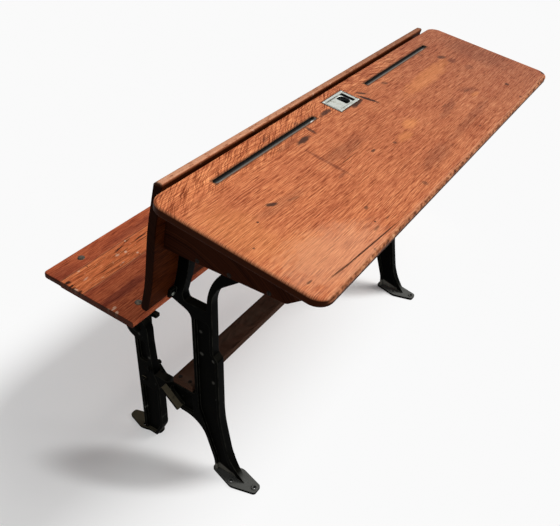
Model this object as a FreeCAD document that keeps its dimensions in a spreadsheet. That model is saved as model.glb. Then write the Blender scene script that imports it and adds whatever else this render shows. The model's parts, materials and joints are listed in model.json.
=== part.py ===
"""Two-pupil school desk: sloping top over an open book box on cast-iron standards, with a tip-up bench.

X runs along the desk, -Y is the pupil's side of the writing top, +Y is the bench's side and Z is up. The
origin is on the floor, under the middle of the desk's outline. Sizes are in millimetres and degrees.
"""
import FreeCAD
import Part
import Sketcher
import math
import os
from types import SimpleNamespace

from FreeCAD import Placement, Rotation, Vector

SIZES = [
    # writing top
    ("top_length", 1067.0), ("top_depth", 319.0), ("top_thick", 18.0), ("top_slope", 8.6),
    ("top_height", 760.0), ("top_corner", 28.0), ("top_round", 5.0),
    # pencil grooves
    ("groove_shift", -10.0), ("groove_start", 103.0), ("groove_length", 310.0), ("groove_width", 11.0),
    ("groove_depth", 6.0), ("groove_setback", 42.0), ("groove_round", 3.0),
    # inkwell
    ("inkwell_shift", -15.0), ("inkwell_setback", 43.8), ("inkwell_length", 76.0), ("inkwell_width", 45.0),
    ("inkwell_recess", 5.0), ("inkwell_proud", 0.8), ("inkwell_corner", 1.0), ("inkwell_rim", 6.0),
    ("inkwell_stop_rim", 7.5), ("slide_lap", 2.0), ("slide_gap", 7.5), ("slide_thick", 1.6),
    ("slide_cover", 0.7), ("slide_play", 0.3), ("slide_hole_width", 22.5), ("slide_hole_length", 26.5),
    ("slide_hole_inset", 10.0), ("slide_hole_corner", 4.0), ("cup_bore", 28.0), ("cup_wall", 2.5),
    ("cup_depth", 34.0), ("cup_floor", 3.0), ("cup_flange", 3.0), ("cup_flange_thick", 3.0),
    ("cup_play", 0.3),
    # backrest
    ("backrest_length", 980.0), ("backrest_thick", 16.0), ("backrest_rise", 4.0),
    ("backrest_height", 288.0), ("backrest_gap", 6.5), ("backrest_upper", 96.0), ("backrest_lower", 64.0),
    ("lean_upper", 13.8), ("lean_middle", 8.7), ("lean_lower", 15.0), ("bend_upper", 600.0),
    ("bend_lower", 400.0), ("backrest_round", 7.0),
    # book box
    ("box_length", 930.0), ("box_end_thick", 15.0), ("box_drop", 144.0), ("box_reach", 213.0),
    ("box_nose", 62.0), ("box_nose_rise", 47.0), ("box_corner", 12.0), ("shelf_thick", 14.0),
    ("shelf_setback", 8.0), ("shelf_play", 1.0), ("wood_play", 0.3),
    # cast iron
    ("standard_spacing", 822.0), ("iron_width", 20.0), ("web_thick", 6.0), ("rib_thick", 8.0),
    ("leg_front", 28.0), ("leg_rear", 23.0), ("leg_step", 11.0), ("leg_step_height", 356.0),
    ("leg_step_rise", 12.0), ("leg_knee_height", 185.0), ("leg_knee_set", 2.0), ("leg_ankle_height", 62.0),
    ("leg_ankle_set", 25.0), ("leg_toe_set", 75.0), ("leg_heel_height", 40.0), ("leg_ankle_round", 150.0),
    ("leg_knee_round", 400.0), ("leg_heel_round", 80.0), ("arm_crotch", 12.0), ("arm_crotch_round", 62.0),
    ("fork_crotch", 24.0), ("fork_crotch_round", 22.0), ("fork_gap_width", 54.0), ("leg_panel_drop", 30.0),
    ("casting_round", 6.0), ("casting_edge", 2.0), ("arm_round", 12.0), ("fork_end_round", 20.0),
    ("fork_drop", 7.0), ("arm_depth", 25.0), ("fork_width", 12.0), ("fork_angle", 38.0),
    ("fork_rise", 55.0), ("fork_round", 74.0), ("fork_inner_rise", 79.0), ("fork_inner_round", 138.0),
    ("shelf_pad", 57.0), ("shelf_pad_thick", 8.0), ("top_pad", 62.0), ("top_pad_thick", 8.0),
    ("ear_width", 16.0), ("ear_height", 20.0), ("ear_thick", 8.0), ("ledge_width", 15.0),
    ("ledge_length", 60.0), ("ledge_thick", 7.0), ("ledge_angle", 43.0), ("ledge_setback", 37.0),
    ("ledge_rise", 16.0), ("arm_bottom", 147.0), ("arm_end_low", 184.0), ("arm_join", 210.0),
    ("arm_haunch", 42.0), ("arm_step", 18.0), ("arm_rest", 3.0), ("arm_rise", 18.0), ("lug_thick", 8.0),
    ("lug_start", 27.0), ("lug_lap", 55.0), ("lug_low", 168.0), ("lug_high", 230.0),
    ("joint_bolt_high", 220.0), ("joint_bolt_low", 181.0), ("joint_bolt_inset", 22.0),
    ("joint_bolt_step", 20.0), ("stretcher_top", 238.0), ("stretcher_width", 52.0),
    ("stretcher_thick", 17.0), ("stretcher_inset", 1.0),
    # feet
    ("foot_thick", 8.0), ("desk_foot_toe", 135.0), ("desk_foot_heel", 17.0), ("desk_foot_width", 54.0),
    ("desk_toe_width", 24.0), ("foot_widest", 0.48), ("foot_tail", 18.0), ("foot_toe_round", 8.0),
    ("foot_side_round", 22.0), ("foot_heel_round", 8.0), ("seat_foot_toe", 240.0),
    ("seat_foot_heel", 144.0), ("seat_foot_width", 44.0), ("seat_toe_width", 18.0),
    ("seat_heel_height", 45.0), ("seat_foot_shift", 6.0), ("seat_hole_set", 6.0), ("toe_ridge", 9.0),
    ("floor_hole", 6.0), ("floor_hole_margin", 2.0), ("desk_foot_hole", 73.0), ("desk_toe_hole", 126.0),
    # seat
    ("seat_length", 920.0), ("seat_depth", 258.0), ("seat_thick", 15.0), ("seat_height", 386.0),
    ("seat_tilt", 2.5), ("seat_rear", 143.0), ("seat_round", 4.0), ("seat_corner", 9.0),
    ("board_round", 1.0), ("seat_board_middle", 66.0), ("seat_board_front", 53.0), ("pivot_inset", 31.0),
    ("pivot_drop", 44.0), ("pivot_bolt", 12.0), ("pivot_play", 0.05), ("head_radius", 31.0),
    ("seat_leg_width", 40.0), ("seat_leg_foot_width", 58.5), ("seat_leg_shoulder", 178.0),
    ("seat_leg_flare", 6.0), ("seat_leg_undercut", 22.0), ("seat_leg_round", 45.0), ("stop_angle", 40.0),
    ("stop_play", 1.0), ("hinge_play", 0.3), ("seat_arm_thick", 10.0), ("seat_arm_radius", 18.0),
    ("seat_arm_flange", 7.0), ("seat_arm_width", 30.0), ("seat_arm_end", 12.0), ("seat_arm_rib", 136.0),
    ("seat_arm_tail", 41.0), ("seat_arm_tail_height", 12.0), ("seat_arm_setback", 4.0),
    ("shoulder_inset", 2.0), ("shoulder_step", 8.0), ("shoulder_round", 30.0), ("seat_bolt_rear", 33.0),
    ("seat_bolt_front", 231.5), ("seat_bolt_rear_in", 4.2), ("seat_bolt_front_in", 35.5),
    # fasteners
    ("bolt", 6.0), ("bolt_head", 16.0), ("bolt_head_height", 3.0), ("nut_across", 10.0),
    ("nut_height", 4.5), ("screw", 4.5), ("screw_head", 9.0), ("screw_head_height", 2.4),
    ("screw_bite", 11.0), ("fastener_play", 0.1), ("head_taper", 0.3), ("drill_lead", 1.0),
    ("pivot_head", 22.0), ("pivot_head_height", 5.0), ("pivot_nut_across", 19.0), ("pivot_nut_height", 8.0),
    ("tiny_screw", 1.8), ("tiny_screw_head", 3.6), ("tiny_screw_length", 9.0), ("tiny_screw_inset", 2.2),
]

DOWN = Vector(0, 0, -1)
UP = Vector(0, 0, 1)
FULL_ROUND = 0.998  # share of a half width that a round end takes
CORNER_SHARE = 0.999  # share of an edge that the arcs at its two ends may take together
SAME_POINT = 1e-4
SIDES = {"left": -1, "right": 1}

doc = FreeCAD.newDocument("SchoolDesk")


def make_sheet():
    """Spreadsheet of the driving dimensions, one alias each, and the same values by name."""
    sheet = doc.addObject("Spreadsheet::Sheet", "Sizes")
    for row, (alias, value) in enumerate(SIZES, start=1):
        sheet.set(f"A{row}", alias)
        sheet.set(f"B{row}", str(value))
        sheet.setAlias(f"B{row}", alias)
    doc.recompute()
    return SimpleNamespace(**{alias: float(sheet.get(alias)) for alias, _ in SIZES})


d = make_sheet()


def tan(angle):
    return math.tan(math.radians(angle))


def cos(angle):
    return math.cos(math.radians(angle))


def sin(angle):
    return math.sin(math.radians(angle))


# Outlines are first laid out with Y = 0 at the top's rear edge. The desk's middle is found here, and every
# piece is moved back by it.
top_front_y = (d.top_round - d.top_depth) * cos(d.top_slope) + d.top_round * sin(d.top_slope) - d.top_round
seat_front_y = (d.seat_rear + (d.seat_depth - d.seat_round) * cos(d.seat_tilt)
                + (d.seat_thick - d.seat_round) * sin(d.seat_tilt) + d.seat_round)
middle_y = (top_front_y + seat_front_y) / 2


def place(x=0.0, y=0.0, z=0.0, tilt=0.0):
    """Placement in the desk's frame of a point laid out from the top's rear edge, tilted about X."""
    return Placement(Vector(x, y - middle_y, z), Rotation(Vector(1, 0, 0), tilt))


top_place = place(z=d.top_height, tilt=d.top_slope)
seat_place = place(y=d.seat_rear, z=d.seat_height, tilt=d.seat_tilt)

# Heights that several pieces share.
backrest_top = d.top_height + d.backrest_rise
backrest_bottom = backrest_top - d.backrest_height
box_bottom = d.top_height - d.box_drop
shelf_top = box_bottom + d.shelf_thick
fork_floor = backrest_bottom - d.fork_drop
stretcher_bottom = d.stretcher_top - d.stretcher_thick
stretcher_rear = d.leg_rear + d.rib_thick + d.stretcher_width

# The seat's pivot, in the layout's frame.
pivot_down = d.seat_thick + d.pivot_drop
pivot_y = d.seat_rear + d.pivot_inset * cos(d.seat_tilt) + pivot_down * sin(d.seat_tilt)
pivot_z = d.seat_height + d.pivot_inset * sin(d.seat_tilt) - pivot_down * cos(d.seat_tilt)
seat_leg_rear = pivot_y - d.head_radius
seat_leg_front = seat_leg_rear + d.seat_leg_width
seat_leg_heel = seat_leg_front - d.seat_leg_foot_width
seat_leg_waist = seat_leg_rear - d.seat_leg_flare

# Bends of the backrest's rear face, from its top down.
bend_upper_z = backrest_top - d.backrest_upper
bend_lower_z = backrest_bottom + d.backrest_lower


def backrest_rear(z):
    """Y of the backrest's rear face at a height, on its straight runs."""
    upper = d.backrest_gap + (backrest_top - max(z, bend_upper_z)) * tan(d.lean_upper)
    middle = (bend_upper_z - min(max(z, bend_lower_z), bend_upper_z)) * tan(d.lean_middle)
    lower = (bend_lower_z - min(z, bend_lower_z)) * tan(d.lean_lower)
    return upper + middle + lower


def lean_at(z):
    """Lean of the backrest's rear face at a height."""
    if z > bend_upper_z:
        return d.lean_upper
    return d.lean_middle if z > bend_lower_z else d.lean_lower


def rear_line(start, end, offset):
    """Corners of a line that follows the backrest's rear face between two heights, offset in Y."""
    heights = [(bend_upper_z, d.bend_upper), (bend_lower_z, d.bend_lower)]
    inside = [item for item in heights if min(start, end) < item[0] < max(start, end)]
    inside.sort(key=lambda item: abs(item[0] - start))
    line = [(start, 0.0)] + inside + [(end, 0.0)]
    return [(backrest_rear(z) + offset, z, radius) for z, radius in line]


def top_underside(y):
    """Height of the writing top's underside at a distance from its rear edge."""
    return d.top_height + y * tan(d.top_slope) - d.top_thick / cos(d.top_slope)


def behind_under_top():
    """Y and Z of the place where the line just behind the backrest comes to the writing top's underside."""
    lean = tan(d.lean_upper)
    base = top_underside(0.0)
    y = (d.backrest_gap - d.wood_play + (backrest_top - base) * lean) / (1 + tan(d.top_slope) * lean)
    return y, top_underside(y)


# Sketching and feature helpers.


def rounded_outline(corners):
    """Lines and tangent arcs round a closed outline of (x, y, radius) corners."""
    points = [Vector(x, y, 0) for x, y, _ in corners]
    count = len(corners)
    reach = []
    turns = []
    for i, (_, _, radius) in enumerate(corners):
        back = (points[i - 1] - points[i]).normalize()
        ahead = (points[(i + 1) % count] - points[i]).normalize()
        half = back.getAngle(ahead) / 2
        turns.append((back, ahead, half))
        reach.append(radius / math.tan(half) if radius else 0.0)
    fit = [1.0] * count
    for i in range(count):
        after = (i + 1) % count
        room = (points[after] - points[i]).Length
        need = reach[i] + reach[after]
        if need > room:
            fit[i] = min(fit[i], CORNER_SHARE * room / need)
            fit[after] = min(fit[after], CORNER_SHARE * room / need)
    ends = []
    arcs = []
    for i, (back, ahead, half) in enumerate(turns):
        start = points[i] + back * (reach[i] * fit[i])
        end = points[i] + ahead * (reach[i] * fit[i])
        ends.append((start, end))
        if reach[i]:
            radius = corners[i][2] * fit[i]
            inward = (back + ahead).normalize()
            centre = points[i] + inward * (radius / math.sin(half))
            arcs.append(Part.Arc(start, centre - inward * radius, end))
        else:
            arcs.append(None)
    edges = []
    for i in range(count):
        if arcs[i]:
            edges.append(arcs[i])
        start = ends[i][1]
        end = ends[(i + 1) % count][0]
        if (end - start).Length > SAME_POINT:
            edges.append(Part.LineSegment(start, end))
    return edges


def make_body(label, placement):
    body = doc.addObject("PartDesign::Body", label)
    body.Label = label
    body.Placement = placement
    return body


def make_sketch(body, role, offset=0.0):
    """Empty sketch on one of the body's origin planes, moved along the plane's normal."""
    sketch = body.newObject("Sketcher::SketchObject", body.Label + "_sketch")
    origin_plane = next(item for item in body.Origin.OriginFeatures if item.Role == role)
    sketch.AttachmentSupport = [(origin_plane, "")]
    sketch.MapMode = "FlatFace"
    sketch.AttachmentOffset = Placement(Vector(0, 0, offset), Rotation())
    return sketch


def draw_outline(body, role, corners, offset=0.0):
    sketch = make_sketch(body, role, offset)
    for edge in rounded_outline(corners):
        sketch.addGeometry(edge, False)
    sketch.detectMissingPointOnPointConstraints(SAME_POINT)
    sketch.makeMissingPointOnPointCoincident()
    return sketch


def draw_circles(body, role, centres, diameter, offset=0.0):
    """Circles whose diameter is bound to a named size."""
    sketch = make_sketch(body, role, offset)
    for x, y in centres:
        index = sketch.addGeometry(Part.Circle(Vector(x, y, 0), Vector(0, 0, 1), 1.0), False)
        constraint = sketch.addConstraint(Sketcher.Constraint("Diameter", index, 2.0))
        sketch.setExpression(f"Constraints[{constraint}]", diameter)
    return sketch


def rectangle(x0, y0, x1, y1, radius=0.0):
    return [(x0, y0, radius), (x1, y0, radius), (x1, y1, radius), (x0, y1, radius)]


def add_feature(body, kind, sketch, length, symmetric=False, reverse=False):
    """Pad or Pocket of a sketch, its length bound to an expression."""
    feature = body.newObject("PartDesign::" + kind, f"{body.Label}_{kind}")
    feature.Profile = sketch
    feature.SideType = "Symmetric" if symmetric else "One side"
    feature.Reversed = reverse
    feature.setExpression("Length", length)
    before = body.Shape.Volume if len(body.Group) > 2 else 0.0
    doc.recompute()
    grown = feature.Shape.Volume - before
    if (grown <= 0) if kind == "Pad" else (grown >= 0):
        raise RuntimeError(f"{feature.Name} changes nothing")
    return feature


def round_edges(body, base, test, radius):
    """Fillet of the edges whose end points and middle all pass a test."""
    doc.recompute()
    names = []
    for number, edge in enumerate(base.Shape.Edges, start=1):
        first = edge.FirstParameter
        last = edge.LastParameter
        if all(test(edge.valueAt(u)) for u in (first, (first + last) / 2, last)):
            names.append(f"Edge{number}")
    feature = body.newObject("PartDesign::Fillet", body.Label + "_round")
    feature.Base = (base, names)
    feature.setExpression("Radius", radius)
    return feature


def near(a, b, tolerance=0.01):
    return abs(a - b) < tolerance


def primitive(kind, name, placement, **sizes):
    """Part primitive whose sizes are bound to expressions."""
    item = doc.addObject("Part::" + kind, name)
    for key, expression in sizes.items():
        item.setExpression(key, expression)
    item.Placement = placement
    return item


def compound(label, items):
    group = doc.addObject("Part::Compound", label)
    group.Label = label
    group.Links = items
    return group


def fuse(name, first, second):
    joined = doc.addObject("Part::Fuse", name)
    joined.Base = first
    joined.Tool = second
    return joined


def cut(label, base, tool):
    part = doc.addObject("Part::Cut", label)
    part.Base = base
    part.Tool = tool
    part.Label = label
    return part


def seat_on(point, direction):
    """Placement of a fastener whose head sits at a point and whose shank runs along a direction."""
    return Placement(point, Rotation(Vector(0, 0, 1), direction))


def along(placement, distance):
    return placement.multiply(Placement(Vector(0, 0, distance), Rotation()))


def make_screws(label, placements, length, shank="screw", head="screw_head", height="screw_head_height"):
    """Group of headed screws or bolts. Length is an expression."""
    solids = []
    for number, spot in enumerate(placements, start=1):
        name = f"{label}_{number}"
        stem = primitive("Cylinder", name + "_shank", spot, Radius=f"Sizes.{shank} / 2", Height=length)
        cap = primitive("Cone", name + "_head", along(spot, -getattr(d, height)), Height=f"Sizes.{height}",
                        Radius1=f"Sizes.{head} * Sizes.head_taper", Radius2=f"Sizes.{head} / 2")
        solids.append(fuse(name, stem, cap))
    return compound(label, solids)


def make_nuts(label, placements, shank, across, height):
    """Group of hexagon nuts standing on the given seats, bored for their bolts."""
    solids = []
    for number, spot in enumerate(placements, start=1):
        name = f"{label}_{number}"
        blank = primitive("Prism", name + "_blank", spot, Circumradius=f"Sizes.{across} / 2 / cos(30 deg)",
                          Height=f"Sizes.{height}")
        bore = primitive("Cylinder", name + "_bore", along(spot, -d.drill_lead),
                         Height=f"Sizes.{height} + 2 * Sizes.drill_lead",
                         Radius=f"Sizes.{shank} / 2 + Sizes.fastener_play")
        solids.append(cut(name, blank, bore))
    return compound(label, solids)


def make_holes(label, placements, depth, radius):
    """Drills for a group of fasteners: they start before the seat and run a little past the depth."""
    reach = f"{depth} + 2 * Sizes.drill_lead"
    drills = [primitive("Cylinder", f"{label}_{number}", along(spot, -d.drill_lead),
                        Radius=radius, Height=reach)
              for number, spot in enumerate(placements, start=1)]
    return compound(label, drills)


# Places of the fasteners. Each is a head's seat and the way its shank goes in. A row of screws is given by
# its shares of the length that it holds.
TOP_ROW = (0.3, 0.75)
PAD_ROW = (0.25, 0.75)
BOX_END_ROW = (0.12, 0.5, 0.82)
half_iron = d.iron_width / 2
half_spacing = d.standard_spacing / 2
hole_offset = half_iron + d.floor_hole / 2 + d.floor_hole_margin
shelf_front = -d.box_reach + d.shelf_setback
pad_front = shelf_front + d.shelf_setback


def spot(x, y, z):
    return Vector(x, y - middle_y, z)


def backrest_spots():
    """One screw through each ear of the standards, square to the backrest's rear face."""
    spots = []
    for side in SIDES.values():
        for ear_z, outward in ear_list():
            z = ear_z + d.ear_height / 2
            lean = lean_at(z)
            square = Vector(0, cos(lean), sin(lean))
            x = side * (half_spacing + outward * (half_iron + d.ear_width / 2))
            face = spot(x, backrest_rear(z) - d.wood_play, z)
            spots.append(seat_on(face - square * (d.ear_thick * cos(lean)), square))
    return spots


def ear_list():
    """Foot height of each ear on a rear arm, and 1 for an ear on the outer side or -1 for the inner side."""
    upper = (bend_upper_z + top_underside(0.0)) / 2
    return [(backrest_bottom + d.wood_play, 1), (box_bottom - d.ear_height - d.rib_thick, -1), (upper, -1)]


def top_spots():
    square = top_place.Rotation.multVec(UP)
    spots = []
    for side in SIDES.values():
        for share in TOP_ROW:
            y = rear_arm_front_top() - share * d.top_pad
            under = spot(side * half_spacing, y, top_underside(y))
            spots.append(seat_on(under - square * d.top_pad_thick, square))
    return spots


def rear_arm_front_top():
    """Y where a rear arm's front edge comes to the writing top."""
    z = top_underside(0.0)
    return backrest_rear(z) - d.wood_play - d.arm_depth


def shelf_spots():
    z = box_bottom - d.shelf_pad_thick
    return [seat_on(spot(side * half_spacing, pad_front + share * d.shelf_pad, z), UP)
            for side in SIDES.values() for share in PAD_ROW]


def box_end_spots():
    z = box_bottom + d.shelf_thick / 2
    spots = []
    for side in SIDES.values():
        for share in BOX_END_ROW:
            y = shelf_front * (1 - share)
            spots.append(seat_on(spot(side * d.box_length / 2, y, z), Vector(-side, 0, 0)))
    return spots


def stretcher_spots():
    start = stretcher_rear - d.stretcher_width
    return [seat_on(spot(side * half_spacing, start + share * d.stretcher_width, d.stretcher_top), DOWN)
            for side in SIDES.values() for share in PAD_ROW]


def seat_point(x, y, z):
    return seat_place.multVec(Vector(x, y, z))


def seat_arm_middle(y):
    """Distance of a seat arm's flange from its standard's middle plane, towards the desk's middle."""
    share = (y - d.seat_bolt_rear) / (d.seat_bolt_front - d.seat_bolt_rear)
    return d.seat_bolt_rear_in + share * (d.seat_bolt_front_in - d.seat_bolt_rear_in)


def seat_bolt_spots():
    normal = seat_place.Rotation.multVec(DOWN)
    return [seat_on(seat_point(side * (half_spacing - seat_arm_middle(y)), y, 0.0), normal)
            for side in SIDES.values() for y in (d.seat_bolt_rear, d.seat_bolt_front)]


def seat_screw_spots():
    normal = seat_place.Rotation.multVec(UP)
    y = d.seat_depth - d.seat_board_front - d.seat_board_middle / 2
    under = -d.seat_thick - d.seat_arm_flange
    return [seat_on(seat_point(side * (half_spacing - seat_arm_middle(y)), y, under), normal)
            for side in SIDES.values()]


def pivot_spots():
    return [seat_on(spot(side * (half_spacing + half_iron), pivot_y, pivot_z), Vector(-side, 0, 0))
            for side in SIDES.values()]


def joint_bolt_places():
    """Y and Z of the two bolts that join a desk standard's lug to its seat standard."""
    y = seat_leg_heel + d.joint_bolt_inset
    return [(y, d.joint_bolt_high), (y + d.joint_bolt_step, d.joint_bolt_low)]


def joint_spots():
    return [seat_on(spot(side * (half_spacing + half_iron), y, z), Vector(-side, 0, 0))
            for side in SIDES.values() for y, z in joint_bolt_places()]


backrest_at = backrest_spots()
top_at = top_spots()
shelf_at = shelf_spots()
box_end_at = box_end_spots()
stretcher_at = stretcher_spots()
seat_bolt_at = seat_bolt_spots()
seat_screw_at = seat_screw_spots()
pivot_at = pivot_spots()
joint_at = joint_spots()

SCREW_HOLE = "Sizes.screw / 2 + Sizes.fastener_play"
BOLT_HOLE = "Sizes.bolt / 2 + Sizes.fastener_play"
PIVOT_HOLE = "Sizes.pivot_bolt / 2 + Sizes.pivot_play"
EAR_SCREW = "Sizes.ear_thick + Sizes.screw_bite"
TOP_SCREW = "Sizes.top_pad_thick + Sizes.screw_bite"
SHELF_SCREW = "Sizes.shelf_pad_thick + Sizes.screw_bite"
BOX_SCREW = "Sizes.box_end_thick + Sizes.screw_bite * 2"
STRETCHER_SCREW = "Sizes.stretcher_thick + Sizes.rib_thick"
SEAT_SCREW = "Sizes.seat_arm_flange + Sizes.screw_bite"
SEAT_BOLT = "Sizes.seat_thick + Sizes.seat_arm_flange + Sizes.nut_height"
PIVOT_BOLT = "Sizes.iron_width + Sizes.seat_arm_thick + 2 * Sizes.hinge_play + Sizes.pivot_nut_height"
JOINT_BOLT = "Sizes.iron_width + Sizes.lug_thick + Sizes.nut_height"

backrest_holes = make_holes("backrest_holes", backrest_at, EAR_SCREW, SCREW_HOLE)
top_holes = make_holes("top_holes", top_at, TOP_SCREW, SCREW_HOLE)
shelf_holes = make_holes("shelf_holes", shelf_at, SHELF_SCREW, SCREW_HOLE)
box_end_holes = make_holes("box_end_holes", box_end_at, BOX_SCREW, SCREW_HOLE)
stretcher_holes = make_holes("stretcher_holes", stretcher_at, STRETCHER_SCREW, SCREW_HOLE)
seat_bolt_holes = make_holes("seat_bolt_holes", seat_bolt_at, SEAT_BOLT, BOLT_HOLE)
seat_screw_holes = make_holes("seat_screw_holes", seat_screw_at, SEAT_SCREW, SCREW_HOLE)
pivot_holes = make_holes("pivot_holes", pivot_at, PIVOT_BOLT, PIVOT_HOLE)
joint_holes = make_holes("joint_holes", joint_at, JOINT_BOLT, BOLT_HOLE)

# The inkwell's layout, in the writing top's own plane: the frame's middle, the cup's middle and the track.
inkwell_x = d.inkwell_shift
inkwell_y = -d.inkwell_setback
half_well = d.inkwell_length / 2
half_well_width = d.inkwell_width / 2
window_start = inkwell_x - half_well + d.inkwell_rim
window_end = inkwell_x + half_well - d.inkwell_stop_rim
slide_start = window_start - d.slide_lap
slide_end = window_end - d.slide_gap
slide_half_width = half_well_width - d.inkwell_rim + d.slide_lap
slide_travel = half_well - d.inkwell_rim + d.slide_lap - (slide_end - inkwell_x)
cup_x = slide_end - d.slide_hole_inset
track_floor = -d.slide_cover - d.slide_thick - 2 * d.slide_play
cup_top = -d.inkwell_recess - d.cup_play


def mouth_outline():
    """Outline of the slide's opening: square on one side, and round where it cuts the slide's end."""
    closed = cup_x - d.slide_hole_width / 2
    open_end = cup_x + d.slide_hole_width / 2
    low = inkwell_y - d.slide_hole_length / 2
    high = inkwell_y + d.slide_hole_length / 2
    bow = d.slide_hole_length / 2 * FULL_ROUND
    return [(closed, low, d.slide_hole_corner), (open_end, low, bow), (open_end, high, bow),
            (closed, high, d.slide_hole_corner)]


def make_desk_top():
    body = make_body("desk_top_blank", top_place)
    half = d.top_length / 2
    panel = draw_outline(body, "XY_Plane", rectangle(-half, -d.top_depth, half, 0.0, d.top_corner))
    slab = add_feature(body, "Pad", panel, "Sizes.top_thick", reverse=True)
    round_edges(body, slab, lambda p: near(p.z, 0) or near(p.z, -d.top_thick), "Sizes.top_round")
    for side in SIDES.values():
        inner = d.groove_shift + side * d.groove_start
        outer = inner + side * d.groove_length
        trough = rectangle(min(inner, outer), -d.groove_setback - d.groove_width / 2, max(inner, outer),
                           -d.groove_setback + d.groove_width / 2, d.groove_width / 2 * FULL_ROUND)
        groove = add_feature(body, "Pocket", draw_outline(body, "XY_Plane", trough), "Sizes.groove_depth")
    round_edges(body, groove, lambda p: near(p.z, -d.groove_depth), "Sizes.groove_round")
    recess = rectangle(inkwell_x - half_well - d.cup_play, inkwell_y - half_well_width - d.cup_play,
                       inkwell_x + half_well + d.cup_play, inkwell_y + half_well_width + d.cup_play)
    add_feature(body, "Pocket", draw_outline(body, "XY_Plane", recess), "Sizes.inkwell_recess")
    seat = draw_circles(body, "XY_Plane", [(cup_x, inkwell_y)],
                        "Sizes.cup_bore + 2 * (Sizes.cup_wall + Sizes.cup_flange + Sizes.cup_play)")
    add_feature(body, "Pocket", seat, "Sizes.inkwell_recess + Sizes.cup_flange_thick + Sizes.cup_play")
    hole = draw_circles(body, "XY_Plane", [(cup_x, inkwell_y)],
                        "Sizes.cup_bore + 2 * (Sizes.cup_wall + Sizes.cup_play)")
    add_feature(body, "Pocket", hole, "Sizes.top_thick + Sizes.drill_lead")
    cut("desk_top", body, compound("desk_top_drills", [top_holes, inkwell_holes]))


def make_inkwell():
    frame = make_body("inkwell_frame_blank", top_place)
    rim = rectangle(inkwell_x - half_well, inkwell_y - half_well_width, inkwell_x + half_well,
                    inkwell_y + half_well_width, d.inkwell_corner)
    add_feature(frame, "Pad", draw_outline(frame, "XY_Plane", rim, -d.inkwell_recess),
                "Sizes.inkwell_recess + Sizes.inkwell_proud")
    window = rectangle(window_start, inkwell_y - half_well_width + d.inkwell_rim, window_end,
                       inkwell_y + half_well_width - d.inkwell_rim)
    add_feature(frame, "Pocket", draw_outline(frame, "XY_Plane", window, d.inkwell_proud),
                "Sizes.inkwell_proud + Sizes.slide_cover")
    track = rectangle(slide_start - d.slide_play, inkwell_y - slide_half_width - d.slide_play,
                      slide_end + slide_travel + d.slide_play, inkwell_y + slide_half_width + d.slide_play)
    add_feature(frame, "Pocket", draw_outline(frame, "XY_Plane", track, track_floor),
                "Sizes.slide_thick + 2 * Sizes.slide_play", reverse=True)
    mouth = mouth_outline()
    add_feature(frame, "Pocket", draw_outline(frame, "XY_Plane", mouth, track_floor), "Sizes.inkwell_recess")
    cut("inkwell_frame", frame, inkwell_holes)

    slide = make_body("inkwell_slide", top_place)
    plate = rectangle(slide_start, inkwell_y - slide_half_width, slide_end, inkwell_y + slide_half_width,
                      d.inkwell_corner)
    add_feature(slide, "Pad", draw_outline(slide, "XY_Plane", plate, track_floor + d.slide_play),
                "Sizes.slide_thick")
    add_feature(slide, "Pocket", draw_outline(slide, "XY_Plane", mouth, -d.slide_cover),
                "Sizes.slide_thick + Sizes.drill_lead")

    cup = make_body("inkwell_cup", top_place)
    flange = draw_circles(cup, "XY_Plane", [(cup_x, inkwell_y)],
                          "Sizes.cup_bore + 2 * (Sizes.cup_wall + Sizes.cup_flange)", cup_top)
    add_feature(cup, "Pad", flange, "Sizes.cup_flange_thick", reverse=True)
    wall = draw_circles(cup, "XY_Plane", [(cup_x, inkwell_y)], "Sizes.cup_bore + 2 * Sizes.cup_wall", cup_top)
    add_feature(cup, "Pad", wall, "Sizes.cup_depth", reverse=True)
    bore = draw_circles(cup, "XY_Plane", [(cup_x, inkwell_y)], "Sizes.cup_bore", cup_top)
    add_feature(cup, "Pocket", bore, "Sizes.cup_depth - Sizes.cup_floor")


def make_backrest():
    body = make_body("backrest_blank", place())
    rear = rear_line(backrest_top, backrest_bottom, 0.0)
    front = rear_line(backrest_bottom, backrest_top, d.backrest_thick)
    rounding = [d.backrest_round / 2, d.backrest_round, d.backrest_round, d.backrest_round]
    for line, place_in, radius in ((rear, 0, 0), (rear, -1, 1), (front, 0, 2), (front, -1, 3)):
        y, z, _ = line[place_in]
        line[place_in] = (y, z, rounding[radius])
    profile = draw_outline(body, "YZ_Plane", rear + front)
    add_feature(body, "Pad", profile, "Sizes.backrest_length", symmetric=True)
    cut("backrest", body, backrest_holes)


def make_box_ends():
    for name, side in SIDES.items():
        label = f"box_end_{name}"
        x = side * (d.box_length - d.box_end_thick) / 2
        body = make_body(label + "_blank", place(x=x))
        nose_y = -d.box_reach - d.box_nose
        rear_top = top_underside(0.0)
        corners = rear_line(rear_top, box_bottom, -d.wood_play)
        corners[0] = (*behind_under_top(), 0.0)
        corners += [(-d.box_reach, box_bottom, d.box_corner),
                    (nose_y, box_bottom + d.box_nose_rise, d.box_corner),
                    (nose_y, top_underside(nose_y), 0.0)]
        panel = draw_outline(body, "YZ_Plane", corners)
        add_feature(body, "Pad", panel, "Sizes.box_end_thick", symmetric=True)
        cut(label, body, box_end_holes)


def make_shelf():
    body = make_body("book_shelf_blank", place(z=box_bottom))
    half = d.box_length / 2 - d.box_end_thick
    rear = backrest_rear(shelf_top) - d.wood_play
    notch_front = rear - d.arm_depth - d.shelf_play
    notch_out = half_spacing + half_iron + d.shelf_play
    notch_in = half_spacing - half_iron - d.shelf_play
    right = [(half, shelf_front, 0.0), (half, rear, 0.0), (notch_out, rear, 0.0),
             (notch_out, notch_front, 0.0), (notch_in, notch_front, 0.0), (notch_in, rear, 0.0)]
    left = [(-x, y, radius) for x, y, radius in reversed(right)]
    add_feature(body, "Pad", draw_outline(body, "XY_Plane", right + left), "Sizes.shelf_thick")
    cut("book_shelf", body, compound("book_shelf_drills", [shelf_holes, box_end_holes]))


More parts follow.
